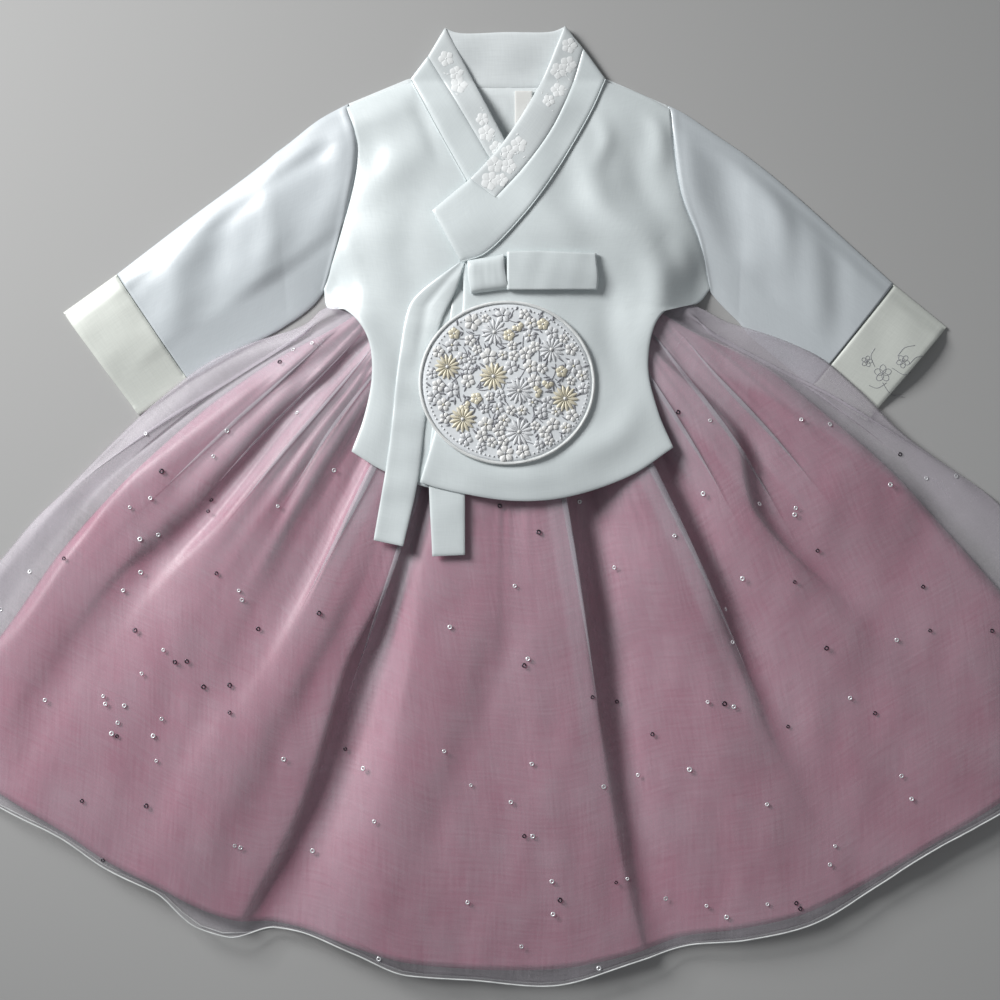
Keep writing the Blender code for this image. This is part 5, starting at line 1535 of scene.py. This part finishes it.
class HANBOK_OT_ties(bpy.types.Operator):
    """Build the bow: knot, loop and the two ribbon ends"""

    bl_idname = "hanbok.ties"
    bl_label = "Ribbon ties"

    def execute(self, context):
        self.ends()
        self.knot()
        self.loop()
        return {"FINISHED"}

    def ends(self):
        """The long end, hollow down its middle below the knot, and the short end."""
        flat = ribbon_patch(LONG_TIE_LEFT, LONG_TIE_RIGHT, 111, 17)

        def long_lift(x, y):
            """On the fronts, rising to the bow at its top, hollow down its middle near it."""
            lift = np.interp(y, (140.0, 168.0), (LONG_TIE_LEVEL, WRAP_LEVEL + BOW_LEVEL))
            middle = np.interp(y, (-28.0, 40.0, 107.0, 149.0, 181.0), (-86.8, -74.5, -66.0, -59.0, -32.0))
            hollow = -0.8 * np.exp(-((x - middle) / 4.0) ** 2) * smoothstep(y, 90.0, 130.0)
            return front_height(x, y) + lift + hollow + 0.4 * ripple(x, y, 17, 5, 40.0)

        made = laid_panel("tie_long_cloth", flat, long_lift, 1.1)
        give(made, cloth("duchess_satin"), ("tie_long",))

        flat = ribbon_patch(SHORT_TIE_LEFT, SHORT_TIE_RIGHT, 91, 15)

        def short_lift(x, y):
            """On the under front, with a slight swell."""
            return front_height(x, y) + UNDER_LEVEL + 0.15 * ripple(x, y, 19, 5, 40.0)

        made = laid_panel("tie_short_cloth", flat, short_lift, 0.9)
        give(made, cloth("duchess_satin"), ("tie_short",))

    def knot(self):
        """The wrap of ribbon: its face arched across, with gathers that run over it."""
        corners = np.array(((-28.0, 182.3), (-1.0, 187.0), (3.0, 161.0), (-25.0, 157.5)))
        left = curve((corners[3], (-27.6, 170.0), corners[0]), 31)
        right = curve((corners[2], (0.2, 174.0), corners[1]), 31)
        bottom = respaced((corners[3], corners[2]), 41)
        top = respaced((corners[0], corners[1]), 41)
        flat = patch(left, right, bottom, top)
        rows, columns = flat.shape[:2]
        t = np.linspace(-1, 1, rows)[:, None]
        s = np.linspace(-1, 1, columns)[None]
        arch = KNOT_HEIGHT * (1 - np.abs(t) ** 5) ** 0.5 * (1 - 0.25 * np.abs(s) ** 6)
        lines = 0.06 * np.sin(8 * s + 1.2 * t) + 0.03 * np.sin(17 * s - 1.5 * t + 1.0)
        base = over_height(flat[..., 0], flat[..., 1]) + BOW_LEVEL
        height = base + np.maximum(arch + lines * (1 - t**4), 0.6)
        top_face = np.dstack([flat, height])
        made = shell("tie_knot_cloth", top_face, np.dstack([flat, base]), 0.1)
        give(made, cloth("duchess_satin"), ("tie_knot",))

    def loop(self):
        """A ribbon doubled back on itself: a long narrow ring of cloth seen from its side."""
        low, high = box_mm("tie_loop")
        x0, x1, y0, y1 = low[0] - 2.0, high[0], low[1] + 0.3, high[1] - 0.3
        straight = np.linspace(0.0, 1.0, 34)
        bend = np.linspace(-90.0, 90.0, 13)[1:-1]
        radius = 0.5 * (LOOP_HEIGHT - 0.9)
        reach = x1 - radius - 0.4
        x = np.concatenate([x0 + (reach - x0) * straight, reach + radius * np.cos(np.radians(bend)),
                            reach + (x0 - reach) * straight])
        rise = np.sin(np.radians(bend))
        z = np.concatenate([0 * straight, radius + radius * rise, 2 * radius + 0 * straight])
        is_top = np.concatenate([0 * straight, 0.5 + 0.5 * rise, 1 + 0 * straight])
        across = np.linspace(0.0, 1.0, 21)
        y = y0 + (y1 - y0) * across[:, None] + 0 * x[None]
        x = x[None] + 0.8 * np.sin(across[:, None] * 5.0) * smoothstep(x[None], 40.0, 70.0)
        y = y + 0.9 * np.sin(x / 14.0) * (across[:, None] - 0.2)
        out = np.clip((x - x0) / (x1 - x0), 0, 1)
        hump = 1.1 * np.sin(math.pi * across[:, None]) ** 0.7 * np.sin(out * 2.4)
        height = (over_height(x, y) + BOW_LEVEL + 0.5 + z[None]
                  + is_top[None] * (hump + 0.22 * ripple(x, y, 23, 5, 26.0)))
        grid = np.dstack([x, y, height])
        made = mesh_object("tie_loop_cloth", grid.reshape(-1, 3), [grid_quads(*grid.shape[:2])[:, ::-1]],
                           flat_places(grid).reshape(-1, 2))
        give(made, cloth("duchess_satin"), ("tie_loop",), wall=0.8, offset=0.0)


class HANBOK_OT_label(bpy.types.Operator):
    """Build the blank label sewn inside the neck"""

    bl_idname = "hanbok.label"
    bl_label = "Blank label"

    def execute(self, context):
        low, high = box_mm("size_label")
        left = respaced(((low[0], low[1]), (low[0], high[1])), 31)
        right = respaced(((high[0], low[1]), (high[0] - 0.4, high[1])), 31)
        flat = between_sides(left, right, 15)

        def curled(x, y):
            """Over the jacket's back, in a slow wave down its length."""
            return low[2] + 0.1 + 0.5 * np.cos((y - high[1]) / 9.0) ** 2

        made = laid_panel("label_cloth", flat, curled, 0.35)
        give(made, cloth("label_taffeta"), ("size_label",))
        return {"FINISHED"}


class HANBOK_OT_sequins(bpy.types.Operator):
    """Scatter ring sequins over the overlay"""

    bl_idname = "hanbok.sequins"
    bl_label = "Sequins"

    def execute(self, context):
        sizes = context.scene.hanbok_sizes
        surface = SURFACES["skirt_overlay"]
        rows, columns = surface.shape[:2]
        draw = np.random.default_rng(8)
        up_rows = np.gradient(surface, axis=0)
        up_columns = np.gradient(surface, axis=1)
        normals = np.cross(up_columns, up_rows)
        normals /= np.linalg.norm(normals, axis=-1)[..., None] + 1e-9
        area = np.linalg.norm(np.cross(up_columns, up_rows), axis=-1).ravel()
        # They lie below the jacket's armpits, and not on the steep sides of folds.
        shown = (surface[..., 1].ravel() < SEQUINS_BELOW_Y) & (normals[..., 2].ravel() > SEQUIN_LEAST_UP)
        chance = area * shown
        picks = draw.choice(rows * columns, sizes.sequin_count, p=chance / chance.sum(), replace=False)
        bright, dark = [], []
        for count, pick in enumerate(picks):
            centre, normal = surface.reshape(-1, 3)[pick], normals.reshape(-1, 3)[pick]
            tilt = normal + draw.normal(0, 0.10, 3)
            ring = sequin(centre + 0.25 * normal, tilt / np.linalg.norm(tilt),
                          0.5 * sizes.sequin_width / MM * draw.uniform(0.75, 1.1))
            # Every third sequin gets the painted dark reflection, the rest the painted glint.
            (bright if count % DARK_REFLECTION_SEQUIN_EVERY else dark).append(ring)
        for name, parts, key in (("sequins_bright", bright, "bright_sequin"),
                                 ("sequins_dark", dark, "dark_sequin")):
            give(merged(name, parts), cloth(key), ())
        return {"FINISHED"}


def sequin(centre, normal, radius):
    """A flat ring with a hole, slightly cupped: four circles of points, closed."""
    sides = 12
    turns = np.linspace(0, 2 * math.pi, sides, endpoint=False)
    side = np.cross(normal, (0.0, 1.0, 0.2))
    side /= np.linalg.norm(side)
    other = np.cross(normal, side)
    circle = np.cos(turns)[:, None] * side + np.sin(turns)[:, None] * other
    rings = [centre + radius * circle * r + normal * h
             for r, h in ((1.0, 0.22), (0.42, 0.0), (0.42, -0.12), (1.0, 0.1))]
    points = np.vstack(rings)
    return points, grid_quads(len(rings), sides, wrap=True, closed=True), points[:, :2]


class HANBOK_OT_cuff_flower(bpy.types.Operator):
    """Embroider the thin line flower on the right cuff"""

    bl_idname = "hanbok.cuff_flower"
    bl_label = "Cuff flower"

    def execute(self, context):
        parts = []

        def ring_of(cx, cy, size, petals, turn):
            """Outlines of petals round a point: each a loop from it, r (1 - cos t) long."""
            for k in range(petals):
                way = turn + 2 * math.pi * k / petals
                t = np.linspace(0.0, 2 * math.pi, 19)
                r = 0.5 * size * (1 - np.cos(t))
                spread = 0.36 * size * np.sin(t)
                line = np.column_stack([cx + r * math.cos(way) - spread * math.sin(way),
                                        cy + r * math.sin(way) + spread * math.cos(way)])
                parts.append(thread_line(line, THIN_STITCH))

        ring_of(284.0, 99.0, 6.5, 5, 0.3)
        ring_of(299.0, 108.0, 5.0, 5, 0.9)
        ring_of(272.0, 108.0, 4.2, 5, 0.1)
        for points in (((284, 92), (290, 84), (300, 82)), ((291, 103), (300, 98), (306, 100)),
                       ((278, 104), (275, 112), (278, 118)), ((295, 112), (300, 118), (308, 120)),
                       ((287, 92), (280, 88), (274, 90)), ((304, 106), (309, 111), (314, 112))):
            parts.append(thread_line(curve(points, 16), THIN_STITCH))
        surface = bpy.data.objects["cuff_right_cloth"]
        bpy.context.view_layer.update()
        shaped = []
        for points, faces, uv in parts:
            raised = points.copy()
            for k, (x, y) in enumerate(points[:, :2]):
                hit, place, _, _ = surface.ray_cast((x * MM, y * MM, 0.05), (0, 0, -1))
                raised[k, 2] = points[k, 2] + (place[2] / MM if hit else 1.0)
            shaped.append((raised, faces, uv))
        give(merged("cuff_flower", shaped), cloth("leaf_floss"), ())
        return {"FINISHED"}


class HANBOK_OT_stage(bpy.types.Operator):
    """Lay the floor, and set the light and the camera above it"""

    bl_idname = "hanbok.stage"
    bl_label = "Floor, light and camera"

    def execute(self, context):
        self.floor()
        self.light("key_light", (-1.45, 1.05, 1.0), 0.75, 10.3, 80.0)
        self.light("fill_light", (1.6, -0.5, 2.2), 2.0, 3.0, 180.0)
        # Cool and low, so that the key light draws the folds.
        world = bpy.data.worlds.new("studio")
        world.use_nodes = True
        world.node_tree.nodes["Background"].inputs["Color"].default_value = (0.93, 0.96, 1.0, 1.0)
        world.node_tree.nodes["Background"].inputs["Strength"].default_value = 0.15
        context.scene.world = world
        context.scene.view_settings.view_transform = "Standard"
        self.camera(context)
        return {"FINISHED"}

    def floor(self):
        """A board that reaches out of every view."""
        side = 12.0
        z = CAD_LOW[2] - 0.0002
        mesh = bpy.data.meshes.new("floor")
        mesh.from_pydata([(-side, -side, z), (side, -side, z), (side, side, z), (-side, side, z)], [],
                         [(0, 1, 2, 3)])
        floor = bpy.data.objects.new("floor", mesh)
        bpy.context.scene.collection.objects.link(floor)
        made, _, shader = started("painted_board")
        shader.inputs["Base Color"].default_value = (*bpy.context.scene.hanbok_colours.floor, 1.0)
        shader.inputs["Roughness"].default_value = 0.8
        mesh.materials.append(made)

    def light(self, name, place, size, power, spread):
        """A square lamp aimed at the garment: size in metres, power in watts, spread in degrees."""
        lamp = bpy.data.lights.new(name, "AREA")
        lamp.energy = power
        lamp.spread = math.radians(spread)
        lamp.shape = "SQUARE"
        lamp.size = size
        made = bpy.data.objects.new(name, lamp)
        made.location = place
        away = np.array(place) - np.array((0.0, -0.05, 0.0))
        made.rotation_euler = (math.atan2(math.hypot(away[0], away[1]), away[2]), 0.0,
                               math.atan2(away[0], -away[1]))
        bpy.context.scene.collection.objects.link(made)

    def camera(self, context):
        """A camera straight above: its lens shows that width at the height of the cloth."""
        height, width, plane = 2.1, 0.75, 0.012
        lens = bpy.data.cameras.new("camera")
        lens.sensor_width = 36.0
        lens.lens = 36.0 * (height - plane) / width
        made = bpy.data.objects.new("camera", lens)
        made.location = (-0.00375, 0.00375, height)
        context.scene.collection.objects.link(made)
        context.scene.camera = made


# ---- Panel and settings ----

class HanbokSizes(bpy.types.PropertyGroup):
    """Sizes that change the look without changing the cut"""

    lining_wall: FloatProperty(name="Lining wall", description="Thickness of the pink satin",
                               default=0.0005, unit="LENGTH")
    organza_wall: FloatProperty(name="Organza wall", description="Thickness of the overlay",
                                default=0.00025, unit="LENGTH")
    hem_roll: FloatProperty(name="Hem roll", description="Radius of the overlay's rolled hem",
                            default=0.0006, unit="LENGTH")
    sequin_width: FloatProperty(name="Sequin width", description="Width of a sequin", default=0.0036,
                                unit="LENGTH")
    sequin_count: IntProperty(name="Sequins", description="How many sequins lie on the skirt's front",
                              default=150, min=1)


def colour_setting(name, description, hex_colour):
    """A colour of the panel, given as its sRGB hex."""
    return FloatVectorProperty(name=name, description=description, subtype="COLOR", size=3, min=0.0,
                               max=1.0, default=linear(hex_colour))


class HanbokColours(bpy.types.PropertyGroup):
    """Colours of the cloths and threads"""

    jacket: colour_setting("Jacket", "White satin of the jacket", "#E1E9EA")
    # Darker than the jacket: painted shade of the sleeves, which lie in less light than the fronts.
    sleeves: colour_setting("Sleeves", "Satin of the sleeves, its warp along the arm", "#D2D9DD")
    lining: colour_setting("Jacket lining", "Inside and back of the jacket", "#E8EEEF")
    cuffs: colour_setting("Cuffs", "Ivory satin of the cuffs", "#DFE3DC")
    brocade: colour_setting("Brocade", "Ground of the brocade strips", "#DCE2E3")
    figure: colour_setting("Brocade figure", "Raised flowers of the brocade", "#F4F7F7")
    skirt: colour_setting("Skirt", "Pink satin of the skirt", "#B0768A")
    organza: colour_setting("Organza", "Yarn of the overlay", "#E6DFE8")
    tape: colour_setting("Tape", "Waistband and label", "#EFEFEC")
    floss: colour_setting("Silver floss", "Silver-white embroidery floss", "#EDEFF1")
    pearl_floss: colour_setting("Pearl floss", "White embroidery floss", "#F7F7F5")
    gold_floss: colour_setting("Gold floss", "Pale gold embroidery thread", "#EEE7D0")
    leaf_floss: colour_setting("Leaf floss", "Grey thread of twigs and leaves", "#A2A3A9")
    round_ground: colour_setting("Round ground", "Taffeta under the embroidery", "#EAEEF1")
    cord: colour_setting("Cord", "Twisted white cord", "#F0F3F2")
    # Painted glint: white standing for the lights seen in the mirror film.
    bright_sequin: colour_setting("Bright sequin", "Pearly sequin film", "#F2F3F6")
    # Painted dark reflection: the mirror film where it shows the dark room.
    dark_sequin: colour_setting("Dark sequin", "Dark sequin film", "#4A444C")
    floor: colour_setting("Floor", "Pale board under the garment", "#B6B6B5")


class HANBOK_PT_panel(bpy.types.Panel):
    """Lists the garment's pieces"""

    bl_label = "Hanbok"
    bl_space_type = "VIEW_3D"
    bl_region_type = "UI"
    bl_category = "Hanbok"

    def draw(self, context):
        for group in (context.scene.hanbok_sizes, context.scene.hanbok_colours):
            for setting in group.bl_rna.properties.keys():
                if setting not in ("rna_type", "name"):
                    self.layout.prop(group, setting)
        for operator in OPERATORS:
            self.layout.operator(operator.bl_idname)


OPERATORS = (
    HANBOK_OT_skirt_lining, HANBOK_OT_skirt_overlay, HANBOK_OT_waistband, HANBOK_OT_jacket_back,
    HANBOK_OT_jacket_fronts, HANBOK_OT_sleeves, HANBOK_OT_cuff_flower, HANBOK_OT_collar, HANBOK_OT_round,
    HANBOK_OT_ties, HANBOK_OT_label, HANBOK_OT_sequins, HANBOK_OT_stage,
)
CLASSES = (HanbokSizes, HanbokColours, *OPERATORS, HANBOK_PT_panel)


def register():
    """Add the classes and the two groups of settings."""
    for item in CLASSES:
        bpy.utils.register_class(item)
    bpy.types.Scene.hanbok_sizes = PointerProperty(type=HanbokSizes)
    bpy.types.Scene.hanbok_colours = PointerProperty(type=HanbokColours)


def unregister():
    """Take the settings and the classes away again."""
    del bpy.types.Scene.hanbok_sizes
    del bpy.types.Scene.hanbok_colours
    for item in reversed(CLASSES):
        bpy.utils.unregister_class(item)


def main():
    """Run every operator in turn."""
    register()
    for operator in OPERATORS:
        group, call = operator.bl_idname.split(".")
        getattr(getattr(bpy.ops, group), call)()


if __name__ == "__main__":
    main()
